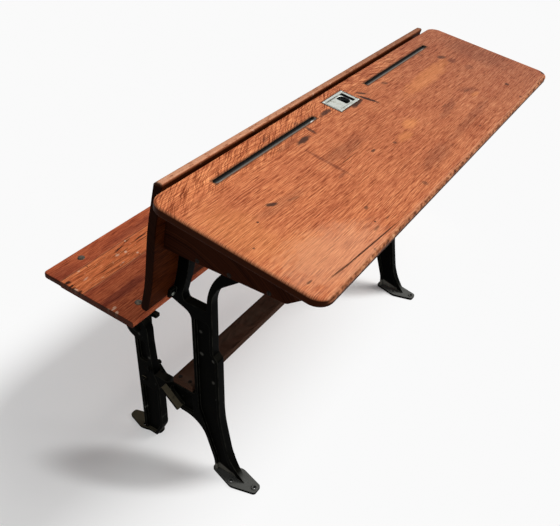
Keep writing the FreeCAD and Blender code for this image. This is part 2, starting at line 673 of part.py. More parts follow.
def make_stretcher():
    body = make_body("stretcher_board_blank", place(z=stretcher_bottom))
    half = half_spacing + half_iron - d.stretcher_inset
    board = rectangle(-half, stretcher_rear - d.stretcher_width, half, stretcher_rear)
    add_feature(body, "Pad", draw_outline(body, "XY_Plane", board), "Sizes.stretcher_thick")
    cut("stretcher_board", body, stretcher_holes)


def seat_leg_edge(z):
    """Y of a seat leg's rear edge between its shoulder and the arm's upper edge."""
    share = (z - d.seat_leg_shoulder) / (d.arm_join - d.seat_leg_shoulder)
    return seat_leg_heel + share * (seat_leg_waist - seat_leg_heel)


def fork_corners():
    """The front arm of the fork: its outer and inner edges rise from the leg and lean to the shelf."""
    edge = -d.leg_front
    outer_bend = fork_floor + d.fork_rise
    inner_edge = edge + d.fork_width
    inner_bend = fork_floor + d.fork_inner_rise
    shelf_lower = box_bottom - d.shelf_pad_thick
    outer_end = edge - (shelf_lower - outer_bend) / tan(d.fork_angle)
    inner_end = inner_edge - (box_bottom - inner_bend) / tan(d.fork_angle)
    return [(edge, outer_bend, d.fork_round), (outer_end, shelf_lower, d.fork_end_round),
            (pad_front, shelf_lower, d.casting_edge), (pad_front, box_bottom, 0.0),
            (inner_end, box_bottom, 0.0), (inner_edge, inner_bend, d.fork_inner_round),
            (inner_edge, fork_floor, d.casting_round)]


def rear_arm_corners():
    """The rear arm of the fork: up behind the book box, along the top's pad and down the backrest."""
    pad_under = d.top_pad_thick / cos(d.top_slope)
    fork_rear = -d.leg_front + d.fork_width + d.fork_gap_width
    arm_front_top = rear_arm_front_top()
    pad_end = arm_front_top - d.top_pad
    front = rear_line(backrest_bottom, top_underside(0.0) - 3 * pad_under, -d.wood_play - d.arm_depth)
    front[0] = (front[0][0], backrest_bottom + d.fork_drop, d.casting_round)
    front[-1] = (arm_front_top, top_underside(arm_front_top) - pad_under, d.arm_round)
    pad_top = top_underside(pad_end)
    pad = [(pad_end, pad_top - pad_under, d.casting_edge), (pad_end, pad_top, 0.0)]
    rear_bottom = backrest_bottom - d.fork_drop / 2
    rear = rear_line(top_underside(0.0), rear_bottom, -d.wood_play)
    rear[0] = (*behind_under_top(), 0.0)
    toe_y = backrest_rear(rear_bottom) + d.fork_drop
    toe = [(toe_y, rear_bottom, d.casting_edge), (toe_y, rear_bottom - d.fork_drop, d.casting_edge)]
    return [(fork_rear, fork_floor, d.casting_round)] + front + pad + rear + toe


def desk_leg_outline():
    """Side outline of a desk standard above its foot plate: leg, fork and arm to the bench leg."""
    edge = -d.leg_front
    lower = edge - d.leg_step
    half_step = d.leg_step_rise / 2
    leg_front = [(edge - d.leg_toe_set, d.foot_thick, 0.0),
                 (lower - d.leg_ankle_set, d.leg_ankle_height, d.leg_ankle_round),
                 (lower - d.leg_knee_set, d.leg_knee_height, d.leg_knee_round),
                 (lower, d.leg_step_height - half_step, half_step),
                 (edge, d.leg_step_height + half_step, half_step)]
    leg_rear = [(d.leg_rear, fork_floor - d.fork_crotch, d.fork_crotch_round)]
    arm = [(d.leg_rear, stretcher_bottom, d.casting_round),
           (stretcher_rear + d.arm_rest, stretcher_bottom, d.casting_round),
           (stretcher_rear + d.arm_step, d.arm_join, d.arm_round),
           (seat_leg_edge(d.arm_join) - d.hinge_play, d.arm_join, d.casting_edge),
           (seat_leg_edge(d.arm_end_low) - d.hinge_play, d.arm_end_low, d.casting_edge),
           (d.leg_rear + d.arm_haunch, d.arm_bottom, d.casting_round)]
    leg_foot = [(d.leg_rear - d.arm_crotch, d.arm_bottom, d.arm_crotch_round),
                (-d.leg_rear, d.leg_heel_height, d.leg_heel_round),
                (-d.leg_rear - d.casting_edge, d.foot_thick, 0.0)]
    return leg_front + fork_corners() + rear_arm_corners() + leg_rear + arm + leg_foot


def desk_leg_recess():
    """The hollow in each face of a desk leg, one rib inside its outline and open onto the foot plate."""
    edge = -d.leg_front + d.rib_thick
    lower = edge - d.leg_step
    rear = d.leg_rear - d.rib_thick
    top = fork_floor - d.leg_panel_drop
    half_step = d.leg_step_rise / 2
    heel = -d.leg_rear - d.rib_thick
    lean = (2 * d.leg_rear - d.arm_crotch) / (d.arm_bottom - d.leg_heel_height)
    bend = d.leg_heel_height + (rear - heel) / lean
    return [(edge, top, d.rib_thick), (rear, top, d.rib_thick), (rear, bend, d.arm_crotch_round),
            (heel, d.leg_heel_height, d.leg_heel_round), (heel, d.foot_thick, 0.0),
            (edge - d.leg_toe_set + d.rib_thick, d.foot_thick, 0.0),
            (lower - d.leg_ankle_set, d.leg_ankle_height - d.rib_thick / 2, d.leg_ankle_round),
            (lower - d.leg_knee_set, d.leg_knee_height, d.leg_knee_round),
            (lower, d.leg_step_height - half_step, half_step),
            (edge, d.leg_step_height + half_step, half_step)]


def arm_recess():
    """The hollow in each face of the arm, one rib inside its edges."""
    front = d.leg_rear + d.rib_thick
    low = d.arm_bottom + d.rib_thick
    high = stretcher_bottom - d.rib_thick
    rear = stretcher_rear + d.rib_thick
    haunch = d.leg_rear + d.arm_haunch - d.rib_thick / 2
    corners = [(front, low), (haunch, low), (rear, low + d.arm_rise), (rear, high - d.rib_thick),
               (stretcher_rear - d.arm_rest, high), (front, high)]
    return [(y, z, d.casting_round) for y, z in corners]


def ledge_outline():
    """The slanted ledge that stands out from the arm's outer face."""
    run = Vector(cos(d.ledge_angle), sin(d.ledge_angle), 0)
    fall = Vector(sin(d.ledge_angle), -cos(d.ledge_angle), 0)
    start = Vector(d.leg_rear + d.ledge_setback, d.arm_bottom + d.ledge_rise, 0)
    end = start + run * d.ledge_length
    ends = [start, end, end + fall * d.ledge_thick, start + fall * d.ledge_thick]
    return [(point.x, point.y, 0.0) for point in ends]


def lug_outline():
    """The plate on the arm's inner face that laps the bench leg and takes its two bolts."""
    start = seat_leg_heel - d.lug_start
    rear = seat_leg_heel + d.lug_lap
    low = d.arm_end_low
    bolt_y = seat_leg_heel + d.joint_bolt_inset
    return [(start, low, d.casting_edge), (bolt_y, d.lug_low, d.arm_round), (rear, d.lug_low, d.arm_round),
            (rear, d.arm_join, d.arm_round), (bolt_y + d.bolt_head, d.lug_high, d.arm_round),
            (bolt_y, d.lug_high, d.arm_round),
            (seat_leg_heel - d.hinge_play, low + d.bolt_head, d.casting_round),
            (start, low + d.bolt_head, d.casting_edge)]


def hollow(body, corners):
    """Cut the same hollow from both faces of a casting, down to its web."""
    depth = "(Sizes.iron_width - Sizes.web_thick) / 2"
    add_feature(body, "Pocket", draw_outline(body, "YZ_Plane", corners, half_iron), depth)
    add_feature(body, "Pocket", draw_outline(body, "YZ_Plane", corners, -half_iron), depth, reverse=True)


def foot_plate(body, toe, heel, width, toe_width, shift=0.0):
    """Boat-shaped plate on the floor. Toe and heel are places along Y, widths and shift are along X."""
    widest = toe + (heel - toe) * d.foot_widest
    half_widths = [(toe_width / 2, toe, d.foot_toe_round), (width / 2, widest, d.foot_side_round),
                   (d.foot_tail / 2, heel, d.foot_heel_round)]
    corners = [(shift - half, y, radius) for half, y, radius in half_widths]
    corners += [(shift + half, y, radius) for half, y, radius in reversed(half_widths)]
    add_feature(body, "Pad", draw_outline(body, "XY_Plane", corners), "Sizes.foot_thick")


def toe_taper(body):
    """Draw the front of a desk leg in to a narrow ridge on its foot plate."""
    start = -d.leg_front - d.leg_step - d.leg_ankle_set
    end = -d.leg_front - d.leg_toe_set
    ridge = d.toe_ridge / 2
    beside = half_iron + d.drill_lead
    past = start + (start - end) * d.drill_lead / (half_iron - ridge)
    for side in SIDES.values():
        flank = [(side * ridge, end), (side * ridge, end - d.drill_lead), (side * beside, end - d.drill_lead),
                 (side * beside, past)]
        corners = [(x, y, 0.0) for x, y in flank]
        sketch = draw_outline(body, "XY_Plane", corners, d.foot_thick)
        add_feature(body, "Pocket", sketch, "Sizes.leg_ankle_height", reverse=True)


def side_pad(body, corners, side, outward, start, depth):
    """Pad that stands out from one face of a standard, on its outer side or its inner side."""
    away = side * outward
    sketch = draw_outline(body, "YZ_Plane", corners, away * start)
    return add_feature(body, "Pad", sketch, depth, reverse=away < 0)


def make_desk_standards():
    for name, side in SIDES.items():
        label = f"desk_standard_{name}"
        body = make_body(label + "_blank", place(x=side * half_spacing))
        add_feature(body, "Pad", draw_outline(body, "YZ_Plane", desk_leg_outline()), "Sizes.iron_width",
                    symmetric=True)
        foot_plate(body, -d.desk_foot_toe, -d.desk_foot_heel, d.desk_foot_width, d.desk_toe_width)
        toe_taper(body)
        hollow(body, desk_leg_recess())
        hollow(body, arm_recess())
        sink = d.rib_thick / 2
        for ear_z, outward in ear_list():
            ear_top = ear_z + d.ear_height
            ear = [(backrest_rear(ear_z) - d.wood_play, ear_z, 0.0),
                   (backrest_rear(ear_top) - d.wood_play, ear_top, 0.0),
                   (backrest_rear(ear_top) - d.wood_play - d.ear_thick, ear_top, 0.0),
                   (backrest_rear(ear_z) - d.wood_play - d.ear_thick, ear_z, 0.0)]
            side_pad(body, ear, side, outward, half_iron - sink, f"Sizes.ear_width + {sink}")
        web_depth = (d.iron_width - d.web_thick) / 2
        side_pad(body, ledge_outline(), side, 1, half_iron - web_depth, f"Sizes.ledge_width + {web_depth}")
        side_pad(body, lug_outline(), side, -1, half_iron, "Sizes.lug_thick")
        holes = [(hole_offset, -d.desk_foot_hole), (-hole_offset, -d.desk_foot_hole), (0.0, -d.desk_toe_hole)]
        add_feature(body, "Pocket", draw_circles(body, "XY_Plane", holes, "Sizes.floor_hole", d.foot_thick),
                    "Sizes.foot_thick + Sizes.drill_lead")
        drills = [backrest_holes, top_holes, shelf_holes, stretcher_holes, joint_holes]
        cut(label, body, compound(label + "_drills", drills))


def seat_stop_outline():
    """The stop under a seat arm's shoulder, laid out square to the seat."""
    inner = (d.seat_arm_radius + d.stop_play) / cos(d.stop_angle / 2)
    outer = d.head_radius
    across = cos(d.stop_angle)
    down = -sin(d.stop_angle)
    corners = [(inner, -d.hinge_play), (outer, -d.hinge_play), (outer * across, outer * down),
               (inner * across, inner * down)]
    return [(pivot_y + y * cos(d.seat_tilt) - z * sin(d.seat_tilt),
             pivot_z + y * sin(d.seat_tilt) + z * cos(d.seat_tilt), 0.0) for y, z in corners]


def make_seat_standards():
    heel = d.seat_heel_height
    leg = [(seat_leg_heel + d.seat_leg_undercut, 0.0, 0.0), (seat_leg_heel, heel, d.seat_leg_round),
           (seat_leg_heel, d.seat_leg_shoulder, d.arm_round), (seat_leg_waist, d.arm_join, d.arm_round),
           (seat_leg_rear, pivot_z - d.head_radius, d.seat_leg_round), (seat_leg_rear, pivot_z, 0.0),
           (seat_leg_front, pivot_z, 0.0), (seat_leg_front, 0.0, 0.0)]
    recess_front = seat_leg_front - d.rib_thick
    recess_heel = seat_leg_heel + d.rib_thick
    recess_top = d.lug_low - d.rib_thick
    on_plate = recess_heel + d.seat_leg_undercut * (1 - d.foot_thick / heel)
    lower_recess = [(recess_heel, heel, d.seat_leg_round - d.rib_thick),
                    (recess_heel, recess_top, d.casting_round), (recess_front, recess_top, d.casting_round),
                    (recess_front, d.foot_thick, 0.0), (on_plate, d.foot_thick, 0.0)]
    upper_recess = rectangle(seat_leg_rear + d.rib_thick, d.lug_high + d.rib_thick, recess_front,
                             pivot_z - d.head_radius, d.casting_round)
    for name, side in SIDES.items():
        label = f"seat_standard_{name}"
        body = make_body(label + "_blank", place(x=side * half_spacing))
        add_feature(body, "Pad", draw_outline(body, "YZ_Plane", leg), "Sizes.iron_width", symmetric=True)
        head = draw_circles(body, "YZ_Plane", [(pivot_y, pivot_z)], "2 * Sizes.head_radius")
        add_feature(body, "Pad", head, "Sizes.iron_width", symmetric=True)
        hollow(body, lower_recess)
        hollow(body, upper_recess)
        shift = -side * d.seat_foot_shift
        foot_plate(body, d.seat_foot_toe, d.seat_foot_heel, d.seat_foot_width, d.seat_toe_width, shift)
        sink = d.rib_thick / 2
        side_pad(body, seat_stop_outline(), side, -1, half_iron - sink, f"Sizes.seat_arm_thick + {sink}")
        hole = (side * d.seat_hole_set, seat_leg_front + d.floor_hole / 2 + d.floor_hole_margin)
        holes = draw_circles(body, "XY_Plane", [hole], "Sizes.floor_hole", d.foot_thick)
        add_feature(body, "Pocket", holes, "Sizes.foot_thick + Sizes.drill_lead")
        cut(label, body, compound(label + "_drills", [pivot_holes, joint_holes]))


def make_seat_arms():
    """Brackets under the seat: an eye on the pivot with a rib, and a flange that splays to the front bolt."""
    radius = d.seat_arm_radius
    seat_under = d.pivot_drop
    shoulder = d.head_radius - d.shoulder_inset
    tail_under = seat_under - d.seat_arm_tail_height
    eye = [(-d.seat_arm_tail, seat_under, d.casting_edge), (-d.seat_arm_tail, tail_under, d.casting_round),
           (-radius, tail_under - d.casting_edge, d.casting_round), (-radius, -radius, radius * FULL_ROUND),
           (radius, -radius, radius * FULL_ROUND), (radius, 0.0, 0.0), (shoulder, 0.0, d.casting_edge),
           (shoulder + d.shoulder_step, seat_under / 2, d.shoulder_round),
           (d.seat_arm_rib, seat_under - d.seat_arm_flange, 0.0), (d.seat_arm_rib, seat_under, 0.0)]
    near_face = half_iron + d.hinge_play
    rear_y = d.seat_arm_setback
    front_y = d.seat_bolt_front + d.seat_arm_end
    half = d.seat_arm_width / 2
    reach = [(rear_y, d.seat_bolt_rear_in), (d.seat_bolt_rear, d.seat_bolt_rear_in),
             (front_y, seat_arm_middle(front_y))]
    for name, side in SIDES.items():
        label = f"seat_arm_{name}"
        pivot_place = place(x=side * half_spacing, y=pivot_y, z=pivot_z, tilt=d.seat_tilt)
        body = make_body(label + "_blank", pivot_place)
        side_pad(body, eye, side, -1, near_face, "Sizes.seat_arm_thick")
        outside = [(-side * (middle - half), y - d.pivot_inset, d.casting_round) for y, middle in reach]
        inner_face = near_face + d.seat_arm_thick
        inside = [(-side * max(middle + half, inner_face), y - d.pivot_inset, d.casting_round)
                  for y, middle in reach]
        flange = outside + list(reversed(inside))
        add_feature(body, "Pad", draw_outline(body, "XY_Plane", flange, seat_under), "Sizes.seat_arm_flange",
                    reverse=True)
        cut(label, body, compound(label + "_drills", [pivot_holes, seat_bolt_holes, seat_screw_holes]))


def make_seat_boards():
    half = d.seat_length / 2
    first_joint = d.seat_depth - d.seat_board_front - d.seat_board_middle
    second_joint = d.seat_depth - d.seat_board_front
    boards = {"rear": (0.0, first_joint), "middle": (first_joint, second_joint),
              "front": (second_joint, d.seat_depth)}
    for name, (start, end) in boards.items():
        label = f"seat_board_{name}"
        body = make_body(label + "_blank", seat_place)
        corner = d.seat_corner if name == "front" else 0.0
        outline = [(-half, start, 0.0), (half, start, 0.0), (half, end, corner), (-half, end, corner)]
        sketch = draw_outline(body, "XY_Plane", outline)
        board = add_feature(body, "Pad", sketch, "Sizes.seat_thick", reverse=True)
        outer = {"rear": start, "front": end}.get(name)
        joints = [y for y in (start, end) if y != outer]
        if outer is not None:
            board = round_edges(body, board, lambda p, y=outer: near(p.y, y, d.seat_corner + d.wood_play)
                                and (near(p.z, 0) or near(p.z, -d.seat_thick)), "Sizes.seat_round")
        round_edges(body, board, lambda p, ys=joints: any(near(p.y, y) for y in ys) and near(p.z, 0),
                    "Sizes.board_round")
        cut(label, body, compound(label + "_drills", [seat_bolt_holes, seat_screw_holes]))


def make_fasteners():
    make_screws("backrest_screws", backrest_at, EAR_SCREW)
    make_screws("top_screws", top_at, TOP_SCREW)
    make_screws("shelf_screws", shelf_at, SHELF_SCREW)
    make_screws("box_end_screws", box_end_at, BOX_SCREW)
    make_screws("stretcher_screws", stretcher_at, STRETCHER_SCREW)
    make_screws("seat_screws", seat_screw_at, SEAT_SCREW)
    make_screws("seat_bolts", seat_bolt_at, SEAT_BOLT, "bolt", "bolt_head", "bolt_head_height")
    make_screws("joint_bolts", joint_at, JOINT_BOLT, "bolt", "bolt_head", "bolt_head_height")
    make_screws("seat_pivot_bolts", pivot_at, PIVOT_BOLT, "pivot_bolt", "pivot_head", "pivot_head_height")
    seat_nut_at = [along(at, d.seat_thick + d.seat_arm_flange) for at in seat_bolt_at]
    joint_nut_at = [along(at, d.iron_width + d.lug_thick) for at in joint_at]
    pivot_nut_at = [along(at, d.iron_width + d.seat_arm_thick + 2 * d.hinge_play) for at in pivot_at]
    make_nuts("seat_nuts", seat_nut_at, "bolt", "nut_across", "nut_height")
    make_nuts("joint_nuts", joint_nut_at, "bolt", "nut_across", "nut_height")
    make_nuts("seat_pivot_nuts", pivot_nut_at, "pivot_bolt", "pivot_nut_across", "pivot_nut_height")


def inkwell_screw_spots():
    square = top_place.Rotation.multVec(DOWN)
    along_x = half_well - d.tiny_screw_inset
    along_y = half_well_width - d.tiny_screw_inset
    corners = [(inkwell_x + i * along_x, inkwell_y + j * along_y) for i in (-1, 1) for j in (-1, 1)]
    return [seat_on(top_place.multVec(Vector(x, y, d.inkwell_proud)), square) for x, y in corners]


inkwell_at = inkwell_screw_spots()
inkwell_holes = make_holes("inkwell_holes", inkwell_at, "Sizes.tiny_screw_length",
                           "Sizes.tiny_screw / 2 + Sizes.fastener_play")


def make_all():
    make_desk_top()
    make_inkwell()
    make_screws("inkwell_screws", inkwell_at, "Sizes.tiny_screw_length", "tiny_screw", "tiny_screw_head",
                "inkwell_proud")
    make_backrest()
    make_box_ends()
    make_shelf()
    make_stretcher()
    make_desk_standards()
    make_seat_standards()
    make_seat_arms()
    make_seat_boards()
    make_fasteners()
    doc.recompute()


NODES = ["desk_top", "inkwell_frame", "inkwell_slide", "inkwell_cup", "inkwell_screws", "backrest",
         "box_end_left", "box_end_right", "book_shelf", "stretcher_board", "desk_standard_left",
         "desk_standard_right", "seat_standard_left", "seat_standard_right", "seat_arm_left",
         "seat_arm_right", "seat_board_rear", "seat_board_middle", "seat_board_front", "backrest_screws",
         "top_screws", "shelf_screws", "box_end_screws", "stretcher_screws", "seat_screws", "seat_bolts",
         "joint_bolts", "seat_pivot_bolts", "seat_nuts", "joint_nuts", "seat_pivot_nuts"]


def check_and_write():
    for item in doc.Objects:
        if any(word in item.State for word in ("Invalid", "Error")):
            raise RuntimeError(f"{item.Name} failed: {item.State}")
    shapes = {}
    for label in NODES:
        shape = doc.getObjectsByLabel(label)[0].Shape
        if shape.isNull() or not shape.isValid():
            raise RuntimeError(f"{label} has no valid shape")
        shapes[label] = shape
    os.makedirs("parts", exist_ok=True)
    for label, shape in shapes.items():
        shape.exportStep(f"parts/{label}.step")
        print(label, len(shape.Solids), round(shape.Volume))


make_all()
check_and_write()
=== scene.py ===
"""Looks of a two-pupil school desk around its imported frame.

Worn varnished wood, black cast iron and a nickel inkwell, seen as in the photograph. Lengths are metres in
the part's own frame: X along the desk, -Y the pupil's side, Z up. Colours are linear (red, green, blue).
"""
import json
import math

import bmesh
import bpy
import numpy as np
from mathutils import Matrix, Vector
from mathutils.bvhtree import BVHTree


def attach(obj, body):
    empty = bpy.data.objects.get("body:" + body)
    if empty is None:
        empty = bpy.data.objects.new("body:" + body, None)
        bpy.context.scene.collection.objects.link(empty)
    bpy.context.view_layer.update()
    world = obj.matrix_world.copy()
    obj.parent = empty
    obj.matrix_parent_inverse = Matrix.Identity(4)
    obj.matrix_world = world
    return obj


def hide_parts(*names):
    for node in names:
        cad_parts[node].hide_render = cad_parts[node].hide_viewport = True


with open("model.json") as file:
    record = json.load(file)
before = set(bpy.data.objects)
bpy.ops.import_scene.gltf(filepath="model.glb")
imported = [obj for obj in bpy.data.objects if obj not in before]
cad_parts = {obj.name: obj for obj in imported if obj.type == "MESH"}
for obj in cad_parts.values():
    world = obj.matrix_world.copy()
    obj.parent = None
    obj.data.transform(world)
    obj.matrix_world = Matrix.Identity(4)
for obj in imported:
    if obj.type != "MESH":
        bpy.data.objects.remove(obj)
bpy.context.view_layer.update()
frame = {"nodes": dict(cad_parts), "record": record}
nodes = frame["nodes"]

# Layout of the solids that the looks follow. A layout place has the part's axes, with Y larger by MIDDLE_Y.
# A plane is a point on it and its tilt about X in degrees.
MIDDLE_Y = 0.04324
TOP_PLANE = (Vector((0.0, -MIDDLE_Y, 0.760)), 8.6)
SEAT_PLANE = (Vector((0.0, 0.143 - MIDDLE_Y, 0.386)), 2.5)
FLAT_PLANE = (Vector((0.0, -MIDDLE_Y, 0.0)), 0.0)
HALF_TOP = 0.5335
TOP_DEPTH = 0.319
HALF_SPACING = 0.411
LEDGE_ROOT = HALF_SPACING + 0.010

# A mark fades between these shares of its size, and goes right through a board.
MARK_EDGE = (1.25, 0.5)
MARK_DEPTH = 10.0


class Finish:
    """A node material: a Principled shader, and short names for the nodes that feed it."""

    INPUTS = {"colour": "Base Color", "roughness": "Roughness", "metallic": "Metallic", "normal": "Normal",
              "specular": "Specular IOR Level"}

    def __init__(self, name):
        self.material = bpy.data.materials.new(name)
        self.material.use_nodes = True
        self.tree = self.material.node_tree
        self.tree.nodes.clear()
        self.shader = self.node("ShaderNodeBsdfPrincipled")
        self.out = self.node("ShaderNodeOutputMaterial")
        self.tree.links.new(self.shader.outputs["BSDF"], self.out.inputs["Surface"])

    def node(self, kind, inputs=None, **settings):
        item = self.tree.nodes.new(kind)
        for key, value in settings.items():
            setattr(item, key, value)
        for key, value in (inputs or {}).items():
            self.put(item.inputs[key], value)
        return item

    def put(self, socket, value):
        """Link a socket to another one, or give it a value."""
        if isinstance(value, bpy.types.NodeSocket):
            self.tree.links.new(value, socket)
        elif socket.type == "RGBA":
            socket.default_value = (*value, 1.0)
        else:
            socket.default_value = value

    def set(self, **values):
        for key, value in values.items():
            self.put(self.shader.inputs[self.INPUTS[key]], value)

    def math(self, operation, a, b=0.0, c=0.0):
        return self.node("ShaderNodeMath", {0: a, 1: b, 2: c}, operation=operation).outputs[0]

    def vector(self, operation, a, b=(0.0, 0.0, 0.0)):
        item = self.node("ShaderNodeVectorMath", {0: a, 1: b}, operation=operation)
        return item.outputs["Value" if operation == "LENGTH" else "Vector"]

    def mix(self, factor, a, b, blend="MIX"):
        item = self.node("ShaderNodeMix", data_type="RGBA", blend_type=blend)
        for index, value in ((0, factor), (6, a), (7, b)):
            self.put(item.inputs[index], value)
        return item.outputs[2]

    def tint(self, factor, colour, shade):
        """Multiply a colour by a shade where the factor is 1."""
        return self.mix(factor, colour, shade, "MULTIPLY")

    def span(self, value, low, high, smooth=True):
        """0 at low and 1 at high, level outside them."""
        item = self.node("ShaderNodeMapRange", {0: value, 1: low, 2: high},
                         interpolation_type="SMOOTHSTEP" if smooth else "LINEAR")
        return item.outputs[0]

    def times(self, *values):
        product = values[0]
        for value in values[1:]:
            product = self.math("MULTIPLY", product, value)
        return product

    def apart(self, value, middle):
        """How far a value is from a middle, to either side."""
        return self.math("ABSOLUTE", self.math("SUBTRACT", value, middle))

    def noise(self, vector, stretch, detail=3.0, roughness=0.5):
        place = self.vector("MULTIPLY", vector, stretch)
        item = self.node("ShaderNodeTexNoise", {"Vector": place, "Scale": 1.0, "Detail": detail,
                                                "Roughness": roughness})
        return item.outputs["Fac"]

    def sway(self, vector, stretch, amount, detail=2.0):
        """Noise about zero."""
        return self.math("MULTIPLY_ADD", self.noise(vector, stretch, detail), amount, -0.5 * amount)

    def ramp(self, factor, stops):
        """A colour ramp through stops of (place, colour)."""
        item = self.node("ShaderNodeValToRGB", {"Fac": factor})
        elements = item.color_ramp.elements
        while len(elements) < len(stops):
            elements.new(1.0)
        for element, (place, colour) in zip(elements, stops):
            element.position = place
            element.color = (*colour, 1.0)
        return item.outputs["Color"]

    def local(self, plane):
        """Coordinates in a board's own plane: x along the desk, y across the board, z out of it."""
        origin, tilt = plane
        angle = math.radians(-tilt)
        coordinates = self.node("ShaderNodeTexCoord").outputs["Object"]
        item = self.node("ShaderNodeMapping", {"Vector": coordinates, "Rotation": (angle, 0.0, 0.0),
                                               "Location": -(Matrix.Rotation(angle, 3, "X") @ origin)})
        return item.outputs["Vector"]

    def join(self, x, y, z=0.0):
        return self.node("ShaderNodeCombineXYZ", {0: x, 1: y, 2: z}).outputs[0]

    def split(self, vector):
        item = self.node("ShaderNodeSeparateXYZ", {0: vector})
        return item.outputs[0], item.outputs[1], item.outputs[2]

    def facing_up(self):
        """1 on faces that look up, 0 on upright ones."""
        return self.split(self.node("ShaderNodeNewGeometry").outputs["Normal"])[2]

    def marks(self, vector, ragged, spots):
        """1 inside soft-edged ovals, each (x, y, half length, half width, angle, strength), else 0."""
        total = None
        for x, y, long, wide, angle, strength in spots:
            place = self.node("ShaderNodeMapping", {"Vector": vector, "Location": (x, y, 0.0),
                                                    "Rotation": (0.0, 0.0, math.radians(angle)),
                                                    "Scale": (long, wide, MARK_DEPTH)}, vector_type="TEXTURE")
            reach = self.math("ADD", self.vector("LENGTH", place.outputs[0]), ragged)
            shade = self.times(self.span(reach, *MARK_EDGE), strength)
            total = shade if total is None else self.math("MAXIMUM", total, shade)
        return total

    def bump(self, height, strength, distance, under=None):
        inputs = {"Height": height, "Strength": strength, "Distance": distance}
        if under is not None:
            inputs["Normal"] = under
        return self.node("ShaderNodeBump", inputs).outputs["Normal"]


# Noises of the grain, along a board and across its rings: stretch and detail.
GRAIN = {"ring": ((1.6, 500.0, 1.0), 2.0), "streak": ((11.0, 520.0, 1.0), 2.0),
         "fine": ((34.0, 760.0, 1.0), 2.0), "fleck": ((95.0, 640.0, 1.0), 1.0),
         "dash": ((40.0, 560.0, 1.0), 2.0)}
TONE_WEIGHTS = {"ring": 0.55, "streak": 0.75, "fine": 1.50, "fleck": 0.50, "patch": 0.26}
PATCH_STRETCH = (6.0, 11.0, 11.0)
SMEAR_STRETCH = (9.0, 26.0, 26.0)
BEND_STRETCH = (4.0, 11.0, 11.0)
RIPPLE_STRETCH = (19.0, 50.0, 50.0)
RIPPLE_SHARE = 0.08
SHIFT_WAY = (1.0, 0.37, 0.71)
PORE_SHADE = 0.35
FINE_HEIGHT = 0.6
GRAIN_BUMP = (0.15, 0.0005)


def wood(name, plane, tones, pith, wobble, rough=(0.42, 0.6), pore=0.5, shift=0.0):
    """Varnished board: streaks and pores that follow the rings round a pith line, and cloudy patches.

    Returns the finish and its parts, so that a board can take its own wear before the colour is used.
    """
    finish = Finish(name)
    place = finish.local(plane)
    moved = finish.vector("ADD", place, tuple(shift * way for way in SHIFT_WAY))
    x, y, z = finish.split(place)
    pith_y, pith_z, skew = pith
    bend = finish.math("ADD", finish.sway(moved, BEND_STRETCH, wobble),
                       finish.sway(moved, RIPPLE_STRETCH, wobble * RIPPLE_SHARE))
    across = finish.math("ADD", finish.math("SUBTRACT", y, pith_y), bend)
    deep = finish.math("ADD", finish.math("MULTIPLY_ADD", x, skew, -pith_z), finish.math("ADD", z, bend))
    radius = finish.math("SQRT", finish.math("ADD", finish.times(across, across), finish.times(deep, deep)))
    flow = finish.join(finish.math("ADD", x, shift), radius, shift)
    noises = {kind: finish.noise(flow, stretch, detail) for kind, (stretch, detail) in GRAIN.items()}
    noises["patch"] = finish.noise(moved, PATCH_STRETCH)
    tone = 0.5
    for kind, weight in TONE_WEIGHTS.items():
        tone = finish.math("MULTIPLY_ADD", finish.math("SUBTRACT", noises[kind], 0.5), weight, tone)
    colour = finish.ramp(tone, list(zip(TONE_STOPS, tones)))
    pores = finish.times(finish.span(noises["dash"], 0.60, 0.72), finish.span(noises["ring"], 0.66, 0.40))
    colour = finish.mix(finish.times(pores, pore), colour, [PORE_SHADE * part for part in tones[0]])
    smear = finish.noise(moved, SMEAR_STRETCH)
    glossy, dull = rough
    gloss = finish.math("MULTIPLY_ADD", smear, dull - glossy, glossy)
    height = finish.math("SUBTRACT", finish.times(noises["fine"], FINE_HEIGHT), pores)
    parts = {"place": place, "moved": moved, "x": x, "y": y, "z": z, "colour": colour, "gloss": gloss,
             "height": height, "fine": noises["fine"], "patch": noises["patch"], "smear": smear, "bend": bend}
    return finish, parts


def close_wood(finish, parts, colour, specular, gloss=None):
    normal = finish.bump(parts["height"], *GRAIN_BUMP)
    finish.set(colour=colour, roughness=gloss or parts["gloss"], normal=normal, specular=specular)
    return finish.material


# Tones of the woods' grain, from dark to light, and where they lie on its ramp.
TONE_STOPS = (0.16, 0.40, 0.60, 0.86)
TOP_TONES = [(0.225, 0.052, 0.022), (0.455, 0.131, 0.054), (0.625, 0.208, 0.088), (0.790, 0.318, 0.140)]
SEAT_TONES = [(0.185, 0.036, 0.016), (0.360, 0.080, 0.033), (0.470, 0.114, 0.047), (0.590, 0.172, 0.072)]
WORN_TONES = [(0.220, 0.046, 0.016), (0.520, 0.128, 0.046), (0.665, 0.182, 0.064), (0.790, 0.275, 0.104)]
# The backrest's tones are darkened beyond its varnish as painted shade.
BACK_TONES_WITH_PAINTED_SHADE = [(0.019, 0.0034, 0.0008), (0.040, 0.0080, 0.0019), (0.055, 0.0115, 0.0028),
              (0.076, 0.0175, 0.0046)]
DARK_TONES = [(0.0095, 0.0022, 0.0008), (0.0200, 0.0048, 0.0018), (0.0285, 0.0070, 0.0027),
              (0.0420, 0.0118, 0.0048)]
RAIL_TONES = [(0.028, 0.0128, 0.0078), (0.047, 0.0222, 0.0142), (0.058, 0.0282, 0.0182),
              (0.075, 0.0390, 0.0260)]

